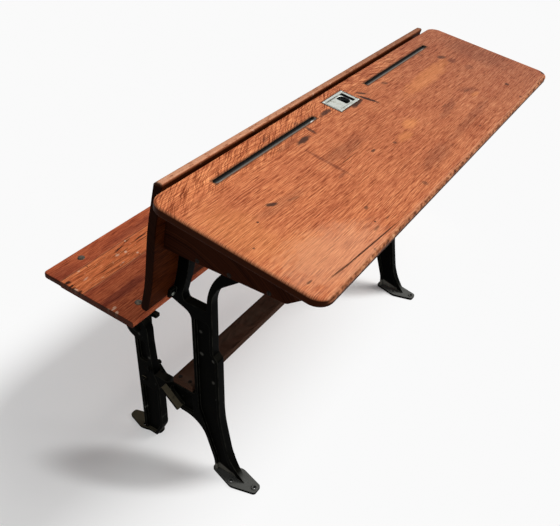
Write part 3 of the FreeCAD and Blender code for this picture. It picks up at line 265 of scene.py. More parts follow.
# Marks of use on the writing top, in its own plane: x, y, half length, half width, angle and strength.
TOP_STAINS = [
    (-0.200, -0.072, 0.024, 0.0068, 4, 0.90), (-0.161, -0.063, 0.0040, 0.016, -8, 0.75),
    (-0.402, -0.140, 0.0120, 0.0046, -28, 0.90), (-0.362, -0.156, 0.016, 0.0030, -14, 0.35),
    (-0.454, -0.150, 0.0026, 0.0022, 0, 0.90), (-0.507, -0.181, 0.0024, 0.0018, 0, 0.70),
    (-0.130, -0.179, 0.0075, 0.0030, 0, 0.80), (-0.072, -0.195, 0.0050, 0.0042, 0, 0.60),
    (-0.295, -0.253, 0.0065, 0.0032, 10, 0.65), (-0.330, -0.291, 0.0095, 0.0026, 0, 0.55),
    (-0.293, -0.291, 0.0065, 0.0020, 0, 0.45), (-0.317, -0.281, 0.0024, 0.0022, 0, 0.90),
    (-0.378, -0.314, 0.0032, 0.0036, 0, 0.65), (-0.152, -0.295, 0.0060, 0.0070, 0, 0.50),
    (-0.510, -0.278, 0.0085, 0.0020, -3, 0.75), (-0.253, -0.023, 0.012, 0.0050, 30, 0.40),
    (-0.163, -0.031, 0.0060, 0.0060, 0, 0.45), (-0.082, -0.047, 0.024, 0.0058, 3, 0.85),
    (0.039, -0.077, 0.026, 0.0050, -76, 1.00), (0.050, -0.056, 0.014, 0.0046, -48, 0.85),
    (0.004, -0.0705, 0.028, 0.0062, 6, 0.95), (0.135, -0.067, 0.0095, 0.0056, -25, 0.55),
    (0.340, -0.056, 0.011, 0.0050, 0, 0.40), (0.377, -0.097, 0.014, 0.0085, -20, 0.70),
    (0.378, -0.263, 0.0065, 0.0056, 30, 0.75), (0.150, -0.202, 0.011, 0.0018, 0, 0.55),
    (0.262, -0.209, 0.014, 0.0026, -10, 0.40), (0.133, -0.290, 0.0050, 0.0022, 0, 0.60),
    (0.343, -0.308, 0.0048, 0.0032, 0, 0.60), (0.463, -0.317, 0.013, 0.0042, 8, 0.85),
    (0.523, -0.305, 0.010, 0.0055, 40, 0.90), (-0.120, -0.322, 0.014, 0.0045, 0, 0.60)]
TOP_SMEARS = [
    (-0.229, -0.140, 0.0052, 0.050, -3, 0.70), (-0.244, -0.178, 0.014, 0.0034, 3, 0.65),
    (-0.170, -0.140, 0.080, 0.018, 0, 0.45), (0.383, -0.122, 0.015, 0.0105, 0, 0.75),
    (0.385, -0.165, 0.015, 0.010, 0, 0.45), (0.150, -0.212, 0.060, 0.010, 8, 0.45),
    (0.268, -0.210, 0.028, 0.015, -30, 0.40), (0.140, -0.264, 0.130, 0.011, 3, 0.35),
    (-0.050, -0.272, 0.070, 0.018, 2, 0.45), (-0.390, -0.150, 0.070, 0.012, -4, 0.35),
    (-0.235, -0.061, 0.035, 0.006, 2, 0.45), (0.480, -0.150, 0.055, 0.090, 0, 0.35)]
# Lighter orange spots in the wood; the one at (-0.460, -0.235), near the front-left corner, is painted sheen.
TOP_WARM_SPOTS_AND_SHEEN = [
    (0.018, -0.184, 0.026, 0.014, 0, 0.75), (-0.035, -0.199, 0.030, 0.011, 0, 0.60),
    (0.250, -0.118, 0.130, 0.022, 3, 0.55), (-0.490, -0.150, 0.045, 0.085, 0, 0.45),
    (0.262, -0.229, 0.018, 0.0065, 0, 0.55), (-0.460, -0.235, 0.060, 0.040, 0, 0.40)]
# A painted sheen: a paler, pinker patch near the front-left corner, where the varnish catches light.
TOP_PAINTED_SHEEN = [(-0.430, -0.275, 0.110, 0.060, -12, 0.95)]
TOP_SCRATCHES = [(-0.377, -0.3035, 0.110, 0.0014, -3.6, 0.95), (-0.452, -0.2985, 0.034, 0.0018, -6, 0.80),
                 (-0.190, -0.160, 0.040, 0.0010, 0, 0.70)]
# A painted highlight where the rounded front-left corner catches light.
CORNER_PAINTED_GLINT = [(-0.5220, -0.3215, 0.013, 0.0034, -45, 0.85)]
WARM_SPOT_AND_SHEEN = (0.700, 0.270, 0.090)
PAINTED_SHEEN = (0.740, 0.380, 0.225)
SMEAR = (0.44, 0.42, 0.52)
INK = (0.046, 0.025, 0.020)
SCRATCH = (0.040, 0.014, 0.008)
SPECK = (0.080, 0.030, 0.018)

# Figure of the top's wood: it slants away from a middle, in a strip behind an edge and short of the far end.
FIGURE_MIDDLE = 0.030
FIGURE_SLANT = math.tan(math.radians(28.0))
FIGURE_EDGE = (-0.078, -0.036)
FIGURE_END = (0.40, 0.22)
FIGURE_TONES = [(0.34, (0.44, 0.33, 0.28)), (0.45, (0.84, 0.79, 0.74)), (0.53, (1.16, 1.18, 1.16)),
                (0.64, (1.32, 1.44, 1.38))]
RED_CLOUD = (0.76, 0.62, 0.68)
# Painted sheen and shade: the top grows darker and duller towards the far end, between these x.
FAR_PAINTED_SPAN = (-0.35, 0.48)
FAR_PAINTED_SHEEN_AND_SHADE = (0.58, 0.62, 0.76)

# Edges of the top: how far in the rubbing and its painted highlight start, and where the darkening and the
# chips lie below its face.
SIDE_RUB = 0.006
FRONT_RUB = 0.010
RUB_FADE = (0.0, 0.006)
DARKENING_DEPTH = (-0.0012, -0.0048)
CHIP_FRONT = (0.004, 0.009)
CHIP_DEPTH = (-0.0105, -0.0070)
# Pale rubbed wood, which also serves as a painted highlight on the rounded edges.
RUBBED_WOOD_AND_HIGHLIGHT = (0.760, 0.400, 0.230)
BELOW_FACE_DARK = (0.030, 0.0062, 0.0010)
PAINTED_CORNER_HIGHLIGHT = (0.900, 0.640, 0.520)
FRONT_WEAR = [(0.30, (0.055, 0.018, 0.007)), (0.50, (0.260, 0.085, 0.034)), (0.62, (0.420, 0.170, 0.078)),
              (0.75, (0.560, 0.300, 0.165))]

# Pencil grooves, from a start to an end on either side of a middle. Margins are outside the groove's ends.
GROOVE_MIDDLE = -0.010
GROOVE_START = 0.103
GROOVE_END = 0.413
GROOVE_Y = -0.042
GROOVE_MARGINS = (0.0008, -0.0002)
GROOVE_SIDE = (0.0062, 0.0056)
GROOVE_DEPTH = (-0.0002, -0.0010)
STAIN_MARGINS = (0.0040, 0.0010)
STAIN_SIDE = (0.0100, 0.0066)
# The groove's front floor is grey as painted light, and its glints are painted highlights.
GREY_STRIP = (GROOVE_Y + 0.0040, GROOVE_Y + 0.0005)
GROOVE_PAINTED_GLINTS = [(-0.1200, -0.0432, 0.0085, 0.0034, 0, 1.0), (-0.402, -0.0440, 0.010, 0.0022, 0, 0.35),
                 (0.389, -0.0435, 0.008, 0.0022, 0, 0.35)]
GROOVE_STAIN = (0.060, 0.026, 0.014)
GROOVE_BLACK = (0.010, 0.010, 0.010)
GROOVE_FLOOR_PAINTED_LIGHT = (0.160, 0.150, 0.135)
GROOVE_PAINTED_HIGHLIGHT = (0.800, 0.800, 0.760)

# Inkwell plate in the top's plane, the painted shade in the gaps round its slide, and the dirt and painted
# shade in the wood round it.
PLATE_MIDDLE = (-0.015, -0.0438)
PLATE_HALF = (0.038, 0.0225)
PLATE_GAP_SHADES = [(-0.0462, -0.0438, 0.0014, 0.0200, 0, 0.85), (-0.0220, -0.0607, 0.0280, 0.0012, 0, 0.75),
              (-0.0220, -0.0271, 0.0280, 0.0010, 0, 0.70)]
PLATE_RIM = (0.0046, 0.0012)
PLATE_RAGGED = 0.0012
PLATE_DIRT_AND_SHADE = (0.045, 0.018, 0.010)


def top_figure(finish, parts):
    """Steep wavy figure in the rear strip, redder clouds, and painted sheen and shade that make the far end
    darker and duller.
    """
    x, y, place = parts["x"], parts["y"], parts["place"]
    ahead = finish.apart(x, FIGURE_MIDDLE)
    slant = finish.math("ADD", finish.math("MULTIPLY_ADD", ahead, FIGURE_SLANT, y), parts["bend"])
    slant = finish.math("ADD", slant, finish.sway(place, (30.0, 60.0, 30.0), 0.012))
    lines = finish.noise(finish.join(x, slant), (22.0, 400.0, 1.0), 2.0)
    edge = finish.math("ADD", y, finish.sway(place, (9.0, 0.0, 0.0), 0.05))
    strip = finish.times(finish.span(edge, *FIGURE_EDGE), finish.span(x, *FIGURE_END))
    colour = finish.tint(strip, parts["colour"], finish.ramp(lines, FIGURE_TONES))
    cloud = finish.times(finish.span(parts["smear"], 0.42, 0.66), 0.34)
    colour = finish.tint(cloud, colour, RED_CLOUD)
    # Painted sheen and shade towards the far end.
    return finish.tint(finish.span(x, *FAR_PAINTED_SPAN, smooth=False), colour, FAR_PAINTED_SHEEN_AND_SHADE)


def top_marks(finish, parts, colour, ragged):
    """Warm spots, one of them painted sheen, a painted sheen near one corner, smears, ink stains, scratches
    and specks.
    """
    place = parts["place"]
    soft = finish.sway(place, (45.0, 90.0, 45.0), 1.1, 3.0)
    # Lighter warm spots, one of them painted sheen, then a painted sheen near the front-left corner.
    colour = finish.mix(finish.times(finish.marks(place, soft, TOP_WARM_SPOTS_AND_SHEEN), 0.55), colour, WARM_SPOT_AND_SHEEN)
    colour = finish.mix(finish.times(finish.marks(place, soft, TOP_PAINTED_SHEEN), 0.35), colour, PAINTED_SHEEN)
    colour = finish.tint(finish.marks(place, soft, TOP_SMEARS), colour, SMEAR)
    colour = finish.mix(finish.marks(place, ragged, TOP_STAINS), colour, INK)
    thin = finish.times(ragged, 0.6)
    colour = finish.mix(finish.marks(place, thin, TOP_SCRATCHES), colour, SCRATCH)
    speck = finish.span(finish.noise(place, (190.0, 320.0, 190.0), 1.0), 0.74, 0.80)
    return finish.mix(finish.times(speck, 0.3), colour, SPECK)


def top_edges(finish, parts, colour, ragged):
    """Edges rubbed pale, partly as a painted highlight, most at the front where arms rest, darker below the
    face, chipped in front, with a painted highlight at the near corner.
    """
    side = finish.math("SUBTRACT", finish.math("ABSOLUTE", parts["x"]), HALF_TOP - SIDE_RUB)
    front = finish.math("SUBTRACT", finish.times(parts["y"], -1.0), TOP_DEPTH - FRONT_RUB)
    edge_rub_and_highlight = finish.math("MAXIMUM", finish.times(side, 0.6), front)
    rubbed_and_lit = finish.times(finish.span(edge_rub_and_highlight, *RUB_FADE), finish.span(parts["fine"], 0.34, 0.60))
    # Pale rubbing along the edges, partly a painted highlight on their rounding.
    colour = finish.mix(finish.times(rubbed_and_lit, 0.42), colour, RUBBED_WOOD_AND_HIGHLIGHT)
    colour = finish.mix(finish.span(parts["z"], *DARKENING_DEPTH), colour, BELOW_FACE_DARK)
    chipped = finish.times(finish.span(front, *CHIP_FRONT), finish.span(parts["z"], *CHIP_DEPTH))
    colour = finish.mix(chipped, colour, finish.ramp(finish.math("ADD", ragged, 0.5), FRONT_WEAR))
    # A painted highlight on the front-left corner.
    return finish.mix(finish.marks(parts["place"], 0.0, CORNER_PAINTED_GLINT), colour, PAINTED_CORNER_HIGHLIGHT)


def along_groove(finish, along, margins):
    """1 between the grooves' ends, fading out over the margins."""
    return finish.times(finish.span(along, *(GROOVE_START - margin for margin in margins)),
                        finish.span(along, *(GROOVE_END + margin for margin in margins)))


def top_grooves(finish, parts, colour):
    """Grooves black with ink, with painted light on their front floor, painted glints and stained lips; also
    returns where they are.
    """
    y = parts["y"]
    along = finish.apart(parts["x"], GROOVE_MIDDLE)
    across = finish.apart(y, GROOVE_Y)
    in_groove = finish.times(along_groove(finish, along, GROOVE_MARGINS), finish.span(across, *GROOVE_SIDE),
                             finish.span(parts["z"], *GROOVE_DEPTH))
    stained = finish.times(along_groove(finish, along, STAIN_MARGINS), finish.span(across, *STAIN_SIDE), 0.70)
    colour = finish.mix(stained, colour, GROOVE_STAIN)
    # Black with ink, grey on the front floor as painted light, and painted highlights where the grooves catch
    # light.
    worn = finish.mix(finish.span(y, *GREY_STRIP), GROOVE_BLACK, GROOVE_FLOOR_PAINTED_LIGHT)
    worn = finish.mix(finish.marks(parts["place"], 0.0, GROOVE_PAINTED_GLINTS), worn, GROOVE_PAINTED_HIGHLIGHT)
    return finish.mix(in_groove, colour, worn), in_groove


def plate_surround(finish, parts, colour, ragged):
    """Dirt and painted shade in the wood along the gap round the inkwell's plate."""
    sides = [finish.math("SUBTRACT", finish.apart(parts[axis], middle), half)
             for axis, middle, half in zip("xy", PLATE_MIDDLE, PLATE_HALF)]
    off_plate = finish.math("ADD", finish.math("MAXIMUM", *sides), finish.times(ragged, PLATE_RAGGED))
    # Darker wood round the plate: dirt, and painted shade in the gap beside it.
    return finish.mix(finish.times(finish.span(off_plate, *PLATE_RIM), 0.90), colour, PLATE_DIRT_AND_SHADE)


def make_top_wood():
    """The writing top: orange varnish with its figure, marks of use, worn edges and black grooves."""
    finish, parts = wood("top_wood", TOP_PLANE, TOP_TONES, pith=(0.060, -0.035, 0.020), wobble=0.014)
    ragged = finish.sway(parts["place"], (110.0, 200.0, 110.0), 1.0, 3.0)
    colour = top_figure(finish, parts)
    colour = top_marks(finish, parts, colour, ragged)
    colour = top_edges(finish, parts, colour, ragged)
    colour, in_groove = top_grooves(finish, parts, colour)
    colour = plate_surround(finish, parts, colour, ragged)
    gloss = finish.math("MULTIPLY_ADD", in_groove, -0.22, parts["gloss"])
    return close_wood(finish, parts, colour, specular=0.02, gloss=gloss)


# Wear of the seat boards, in the seat's own plane, as marks like those of the top.
SEAT_PITS = [
    (-0.302, 0.191, 0.019, 0.0024, 8, 0.95), (-0.268, 0.199, 0.013, 0.0020, 5, 0.85),
    (-0.235, 0.187, 0.024, 0.0024, 3, 0.90), (-0.240, 0.178, 0.022, 0.0017, 0, 0.75),
    (-0.297, 0.178, 0.015, 0.0016, 4, 0.75), (-0.452, 0.190, 0.0090, 0.0048, 0, 0.95),
    (-0.455, 0.176, 0.0065, 0.0032, 0, 0.90), (-0.457, 0.167, 0.0055, 0.0032, 0, 0.80),
    (-0.457, 0.149, 0.0060, 0.0042, 20, 0.85), (-0.389, 0.199, 0.0036, 0.0016, 60, 0.85)]
SEAT_CHIPS = [
    (-0.299, 0.172, 0.0048, 0.0032, 20, 0.95), (-0.284, 0.150, 0.0036, 0.0028, 0, 0.85),
    (-0.269, 0.203, 0.0045, 0.0018, 40, 0.85), (-0.412, 0.201, 0.0034, 0.0022, 0, 0.75),
    (-0.319, 0.178, 0.0065, 0.0032, 0, 0.60), (-0.420, 0.171, 0.0085, 0.0022, 10, 0.55),
    (-0.458, 0.160, 0.0040, 0.0060, 0, 0.70), (-0.330, 0.150, 0.0045, 0.0020, 0, 0.50)]
REAR_CHIPS = [(-0.452, 0.058, 0.0080, 0.0022, 0, 0.80), (-0.457, 0.045, 0.0060, 0.0036, 30, 0.80),
              (-0.448, 0.061, 0.0050, 0.0020, 0, 0.70), (-0.460, 0.066, 0.0030, 0.0030, 0, 0.70)]
REAR_SHADES = [(-0.400, 0.082, 0.085, 0.015, 2, 0.85), (-0.120, 0.084, 0.200, 0.014, 1, 0.70),
               (0.280, 0.080, 0.160, 0.014, -1, 0.70), (-0.360, 0.132, 0.130, 0.006, 0, 0.45)]
FRONT_SHADES = [(-0.440, 0.222, 0.045, 0.022, 0, 0.50), (-0.200, 0.222, 0.130, 0.012, 2, 0.55),
                (0.180, 0.228, 0.220, 0.014, -1, 0.50)]
SEAT_JOINTS = (0.139, 0.205)
LIP_REACH = (0.0042, 0.0018)
JOINT_REACH = (0.0016, 0.0006)
SEAT_UPPER = (-0.0100, -0.0060)
SEAT_ENDS = (0.4570, 0.4594)
SEAT_CLOUD = (0.66, 0.52, 0.60)
SEAT_SHADE = (0.50, 0.44, 0.58)
SEAT_GROOVE = (0.050, 0.016, 0.008)
SEAT_SCAR = (0.640, 0.330, 0.180)
SEAT_PIT = (0.026, 0.012, 0.008)
SEAT_CHIP = (0.720, 0.470, 0.330)
JOINT_LIP = (0.560, 0.240, 0.130)
JOINT_DIRT = (0.060, 0.018, 0.009)
SEAT_END_GRAIN_AND_SHADE = (0.020, 0.007, 0.004)


def make_seat_wood(name, shift, tones, shades=(), pits=(), chips=(), worn=0.0):
    """A seat board with its own dark shades, pits, pale chips and, where it is worn, open grain and scars."""
    finish, parts = wood(name, SEAT_PLANE, tones, pith=(-0.080, -0.100, 0.01), wobble=0.014,
                         rough=(0.36, 0.54), pore=0.4, shift=shift)
    place, moved = parts["place"], parts["moved"]
    cloud = finish.times(finish.span(parts["smear"], 0.44, 0.66), 0.5)
    colour = finish.tint(cloud, parts["colour"], SEAT_CLOUD)
    ragged = finish.sway(place, (120.0, 220.0, 120.0), 1.0, 3.0)
    upper = finish.span(parts["z"], *SEAT_UPPER)
    if shades:
        soft = finish.sway(place, (30.0, 90.0, 45.0), 1.0, 3.0)
        colour = finish.tint(finish.marks(place, soft, shades), colour, SEAT_SHADE)
    if worn:
        groove = finish.noise(moved, (13.0, 260.0, 100.0), 3.0, 0.6)
        colour = finish.mix(finish.times(finish.span(groove, 0.58, 0.68), upper, worn), colour, SEAT_GROOVE)
        scar = finish.noise(moved, (80.0, 190.0, 120.0), 2.0)
        colour = finish.mix(finish.times(finish.span(scar, 0.67, 0.73), upper, worn), colour, SEAT_SCAR)
    if pits:
        colour = finish.mix(finish.times(finish.marks(place, ragged, pits), upper), colour, SEAT_PIT)
    if chips:
        colour = finish.mix(finish.times(finish.marks(place, ragged, chips), upper), colour, SEAT_CHIP)
    # A worn light lip and a dark line of dirt along the joints between the boards.
    for joint in SEAT_JOINTS:
        near = finish.apart(parts["y"], joint)
        lip = finish.times(finish.span(near, *LIP_REACH), finish.span(parts["fine"], 0.36, 0.60), 0.30)
        colour = finish.mix(lip, colour, JOINT_LIP)
        colour = finish.mix(finish.times(finish.span(near, *JOINT_REACH), 0.5), colour, JOINT_DIRT)
    # Near-black ends of the boards: dark end grain, darkened further as painted shade.
    ends = finish.span(finish.math("ABSOLUTE", parts["x"]), *SEAT_ENDS)
    colour = finish.mix(finish.times(ends, 0.9), colour, SEAT_END_GRAIN_AND_SHADE)
    return close_wood(finish, parts, colour, specular=0.02)


# Heights of the backrest's rubbed upper edge, the stretch along it where the rubbing fades, and its ends.
CREST = 0.7640
BACK_UPPER = (0.7565, 0.7615)
BACK_RIM = (CREST - 0.0024, CREST - 0.0008)
BACK_FADE = (-0.45, 0.40)
BACK_ENDS = (0.4850, 0.4893)
THIN_VARNISH = (0.250, 0.075, 0.032)
RIM_WOOD = (0.600, 0.290, 0.170)
BARE_WOOD = (0.680, 0.430, 0.310)
BACK_END_GRAIN_AND_SHADE = (0.0040, 0.0014, 0.0006)


def make_back_wood():
    """Dark varnish, darkened further as painted shade, rubbed through to pale wood along the upper edge, with
    ends darkened as end grain and painted shade.
    """
    finish, parts = wood("back_wood", FLAT_PLANE, BACK_TONES_WITH_PAINTED_SHADE, pith=(0.30, 0.45, 0.02), wobble=0.02,
                         rough=(0.40, 0.58), pore=0.4, shift=2.3)
    nick = finish.noise(parts["moved"], (60.0, 170.0, 120.0), 3.0, 0.6)
    upper = finish.span(parts["z"], *BACK_UPPER)
    fading = finish.math("MULTIPLY_ADD", finish.span(parts["x"], *BACK_FADE), -0.65, 0.95)
    colour = finish.mix(finish.times(upper, fading), parts["colour"], THIN_VARNISH)
    rim = finish.times(finish.span(parts["z"], *BACK_RIM), finish.span(nick, 0.24, 0.48), fading)
    colour = finish.mix(rim, colour, RIM_WOOD)
    worn = finish.times(upper, finish.span(nick, 0.58, 0.70), fading)
    colour = finish.mix(finish.times(worn, 0.6), colour, BARE_WOOD)
    # Near-black ends: dark end grain, darkened further as painted shade.
    ends = finish.span(finish.math("ABSOLUTE", parts["x"]), *BACK_ENDS)
    colour = finish.mix(finish.times(ends, 0.8), colour, BACK_END_GRAIN_AND_SHADE)
    return close_wood(finish, parts, colour, specular=0.007)


WOOD_DUST = (0.085, 0.068, 0.052)


def make_dark_wood(name, shift, tones):
    """Dark aged varnish, dusty where it faces up."""
    finish, parts = wood(name, FLAT_PLANE, tones, pith=(0.05, 0.40, 0.02), wobble=0.02, rough=(0.45, 0.65),
                         pore=0.4, shift=shift)
    dust = finish.times(finish.span(finish.facing_up(), 0.75, 0.98),
                        finish.span(parts["patch"], 0.35, 0.62), 0.35)
    colour = finish.mix(dust, parts["colour"], WOOD_DUST)
    return close_wood(finish, parts, colour, specular=0.007)


# Places in the side view (Y and Z of the layout) where the paint is knocked off the castings.
IRON_CHIPS = [(0.006, 0.403, 0.0042, 0.0042, 0, 0.55), (0.006, 0.344, 0.0050, 0.0046, 0, 0.7),
              (-0.022, 0.338, 0.0044, 0.0026, 60, 0.8), (-0.021, 0.277, 0.0040, 0.0048, 0, 0.6),
              (-0.029, 0.230, 0.0036, 0.0034, 0, 0.7), (0.147, 0.256, 0.0036, 0.0038, 0, 0.7),
              (0.170, 0.314, 0.0036, 0.0044, 0, 0.5), (0.178, 0.079, 0.0034, 0.0030, 0, 0.8),
              (0.124, 0.077, 0.0034, 0.0030, 0, 0.7)]
BLACK_PAINT = ((0.0010, 0.0010, 0.0008), (0.0016, 0.0016, 0.0011))
# Rubbed paint on edges, paler also as a painted highlight along them.
RUBBED_IRON_AND_HIGHLIGHT = (0.040, 0.040, 0.032)
PITTED_IRON = (0.050, 0.050, 0.044)
CHIPPED_IRON = (0.100, 0.098, 0.088)
IRON_DUST = (0.034, 0.032, 0.025)

# Feet: the heights where their grey fades, and where (Y of the layout) the bench's feet follow the desk's.
# The grey of the desk's feet runs up the leg at a slope, from the toe's tip.
FOOT_FADE = (0.036, 0.012)
FOOT_PLATE_TOP = (0.0085, 0.0110)
BENCH_START, BENCH_FULL = 0.06, 0.12
TOE_Y = -0.103
ANKLE_SLOPE = 0.27
ANKLE_FADE = (0.012, 0.006)
ANKLE_GREY = (0.115, 0.111, 0.096)
DESK_FOOT = (0.100, 0.102, 0.096)
# The bench's feet: dusty, and made paler as painted light where the leg shades them.
BENCH_FOOT_DUST_AND_LIGHT = (0.066, 0.059, 0.040)

# The ledge of the arm, worn to the metal on top: where it leaves the arm, and its lower and upper ends.
LEDGE_SIDE = (LEDGE_ROOT, LEDGE_ROOT + 0.0006)
LEDGE_LOW = (0.150, 0.154)
LEDGE_HIGH = (0.222, 0.218)
LEDGE_METAL = (0.130, 0.110, 0.072)


def make_iron():
    """Old black paint on rough castings: dusty where it faces up, rubbed on edges, where a painted highlight
    lies too, and chipped in places.
    """
    finish = Finish("iron")
    place = finish.local(FLAT_PLANE)
    x, y, z = finish.split(place)
    sand = finish.noise(place, (900.0, 900.0, 900.0), 3.0, 0.6)
    blotch = finish.noise(place, (26.0, 26.0, 26.0), 4.0, 0.6)
    colour = finish.mix(finish.span(blotch, 0.35, 0.7), *BLACK_PAINT)
    # Rubbed paint on the eased edges, also a painted highlight along them.
    edge = finish.node("ShaderNodeAttribute", attribute_name="edge_rub_and_highlight").outputs["Fac"]
    scuff = finish.noise(place, (70.0, 70.0, 45.0), 4.0, 0.65)
    rubbed_and_lit = finish.times(edge, finish.span(scuff, 0.30, 0.65), 0.8)
    colour = finish.mix(rubbed_and_lit, colour, RUBBED_IRON_AND_HIGHLIGHT)
    pitted = finish.times(finish.span(finish.noise(place, (85.0, 85.0, 85.0), 1.0), 0.76, 0.79), 0.25)
    colour = finish.mix(pitted, colour, PITTED_IRON)
    ragged = finish.sway(place, (150.0, 150.0, 150.0), 0.7, 3.0)
    chips = finish.marks(finish.join(y, z), ragged, IRON_CHIPS)
    colour = finish.mix(finish.times(chips, 0.75), colour, CHIPPED_IRON)
    facing = finish.facing_up()
    dust = finish.times(finish.span(facing, 0.45, 0.85), finish.span(blotch, 0.25, 0.60), 0.5)
    colour = finish.mix(dust, colour, IRON_DUST)
    rise = finish.math("SUBTRACT", z, finish.math("MULTIPLY_ADD", y, ANKLE_SLOPE, -ANKLE_SLOPE * TOE_Y))
    ankle = finish.times(finish.span(rise, *ANKLE_FADE), finish.span(z, *FOOT_PLATE_TOP),
                         finish.span(y, BENCH_FULL, BENCH_START), finish.span(blotch, 0.0, 0.45))
    colour = finish.mix(ankle, colour, ANKLE_GREY)
    foot = finish.times(finish.span(z, *FOOT_FADE), finish.span(facing, 0.2, 0.7),
                        finish.span(blotch, -0.3, 0.45))
    # Grey feet; the bench's grey also carries painted light.
    grey = finish.mix(finish.span(y, BENCH_START, BENCH_FULL), DESK_FOOT, BENCH_FOOT_DUST_AND_LIGHT)
    colour = finish.mix(foot, colour, grey)
    ledge = finish.times(finish.span(finish.math("ABSOLUTE", x), *LEDGE_SIDE), finish.span(z, *LEDGE_LOW),
                         finish.span(z, *LEDGE_HIGH), finish.span(facing, 0.5, 0.6),
                         finish.span(scuff, 0.15, 0.45))
    colour = finish.mix(finish.times(ledge, 0.9), colour, LEDGE_METAL)
    gloss = finish.math("ADD", finish.math("MULTIPLY_ADD", blotch, 0.1, 0.44), finish.times(foot, 0.15))
    bump = finish.bump(sand, 0.22, 0.0006)
    bump = finish.bump(blotch, 0.08, 0.002, bump)
    finish.set(colour=colour, roughness=gloss, normal=bump, specular=0.008)
    return finish.material


SUNK_FADE = 0.0004
SUNK_BLACK = (0.008, 0.008, 0.008)
GAP_PAINTED_SHADE = (0.045, 0.047, 0.042)


def make_metal(name, clean, tarnish, roughness, scale, sunk=None):
    """Bare or plated metal with tarnish in patches and fine scratches.

    Where a sunk depth is given, it is black below that depth in the top's plane and has painted shade in the
    slide's gaps.
    """
    finish = Finish(name)
    place = finish.local(TOP_PLANE)
    cloud = finish.noise(place, (scale, scale, scale), 4.0, 0.6)
    scratch = finish.noise(place, (60.0, 1500.0, 1500.0), 3.0, 0.6)
    dull = finish.span(cloud, 0.40, 0.70)
    colour = finish.mix(dull, clean, tarnish)
    metal = finish.math("MULTIPLY_ADD", dull, -0.35, 1.0)
    gloss = finish.math("ADD", finish.math("MULTIPLY_ADD", dull, 0.25, roughness),
                        finish.times(scratch, 0.15))
    if sunk is not None:
        below = finish.span(finish.split(place)[2], sunk, sunk - SUNK_FADE)
        colour = finish.mix(below, colour, SUNK_BLACK)
        metal = finish.times(metal, finish.math("SUBTRACT", 1.0, below))
        # Painted shade in the gaps round the inkwell's slide.
        colour = finish.mix(finish.marks(place, 0.0, PLATE_GAP_SHADES), colour, GAP_PAINTED_SHADE)
    finish.set(colour=colour, roughness=gloss, metallic=metal, normal=finish.bump(scratch, 0.05, 0.0003))
    return finish.material


# Depths in the top's plane between which the cup's glass turns black with ink, and how ragged that is.
CUP_STAIN = (-0.004, -0.014)
CUP_RAGGED = 0.012
CLOUDED_GLASS = (0.30, 0.33, 0.32)
DRIED_INK = (0.008, 0.008, 0.011)


def make_cup():
    """Old glass, clouded by ink: nearly black at the bottom."""
    finish = Finish("cup_glass")
    place = finish.local(TOP_PLANE)
    cloud = finish.noise(place, (140.0, 140.0, 60.0), 3.0, 0.6)
    wave = finish.math("MULTIPLY_ADD", cloud, CUP_RAGGED, -0.5 * CUP_RAGGED)
    stain = finish.span(finish.math("ADD", finish.split(place)[2], wave), *CUP_STAIN)
    colour = finish.mix(stain, CLOUDED_GLASS, DRIED_INK)
    finish.set(colour=colour, roughness=finish.math("MULTIPLY_ADD", cloud, 0.2, 0.08), specular=0.5)
    return finish.material


IRON_NODES = [name for name in nodes if name.startswith(("desk_standard", "seat_standard", "seat_arm"))]
BODY_OF = {name: body for body, members in frame["record"]["behaviour"]["bodies"].items() for name in members}
MATERIALS = {
    "desk_top": make_top_wood(),
    "seat_board_rear": make_seat_wood("seat_wood_rear", shift=0.0, tones=SEAT_TONES, shades=REAR_SHADES,
                                      chips=REAR_CHIPS),
    "seat_board_middle": make_seat_wood("seat_wood_middle", shift=1.7, tones=WORN_TONES, pits=SEAT_PITS,
                                        chips=SEAT_CHIPS, worn=0.75),
    "seat_board_front": make_seat_wood("seat_wood_front", shift=3.1, tones=SEAT_TONES, shades=FRONT_SHADES),
    "backrest": make_back_wood(),
}
end_wood = make_dark_wood("end_wood", shift=4.4, tones=DARK_TONES)
rail_wood = make_dark_wood("rail_wood", shift=5.9, tones=RAIL_TONES)
iron = make_iron()
nickel = make_metal("nickel", clean=(0.58, 0.61, 0.57), tarnish=(0.33, 0.34, 0.30), roughness=0.30,
                    scale=90.0, sunk=-0.0012)
steel = make_metal("screw_steel", clean=(0.0150, 0.0090, 0.0062), tarnish=(0.0080, 0.0048, 0.0034),
                   roughness=0.55, scale=180.0)
bolt_steel = make_metal("bolt_steel", clean=(0.105, 0.084, 0.064), tarnish=(0.026, 0.020, 0.015),
                        roughness=0.45, scale=160.0)
pale_steel = make_metal("pale_steel", clean=(0.40, 0.43, 0.38), tarnish=(0.12, 0.12, 0.10), roughness=0.36,
                        scale=220.0)
MATERIALS.update({"box_end_left": end_wood, "box_end_right": end_wood, "book_shelf": end_wood,
                  "stretcher_board": rail_wood, "inkwell_frame": nickel, "inkwell_slide": nickel,
                  "inkwell_cup": make_cup()})
MATERIALS.update({name: steel for name in nodes if name.endswith(("_screws", "_bolts", "_nuts"))})
MATERIALS.update({"backrest_screws": pale_steel, "inkwell_screws": nickel, "seat_bolts": bolt_steel})
BLACK_BOLTS = ("joint_bolts", "joint_nuts", "seat_pivot_bolts", "seat_pivot_nuts")
MATERIALS.update({name: iron for name in (*BLACK_BOLTS, *IRON_NODES)})


def add_piece(name, mesh, material, body, stands_for=()):
    piece = bpy.data.objects.new(name, mesh)
    bpy.context.scene.collection.objects.link(piece)
    mesh.materials.clear()
    mesh.materials.append(material)
    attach(piece, body)
    if stands_for:
        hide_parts(*stands_for)
    return piece


SAME_POINT = 1e-6


def merged(node):
    """A node's mesh with the corners of its triangles joined."""
    shape = bmesh.new()
    shape.from_mesh(nodes[node].data)
    bmesh.ops.remove_doubles(shape, verts=shape.verts, dist=SAME_POINT)
    return shape


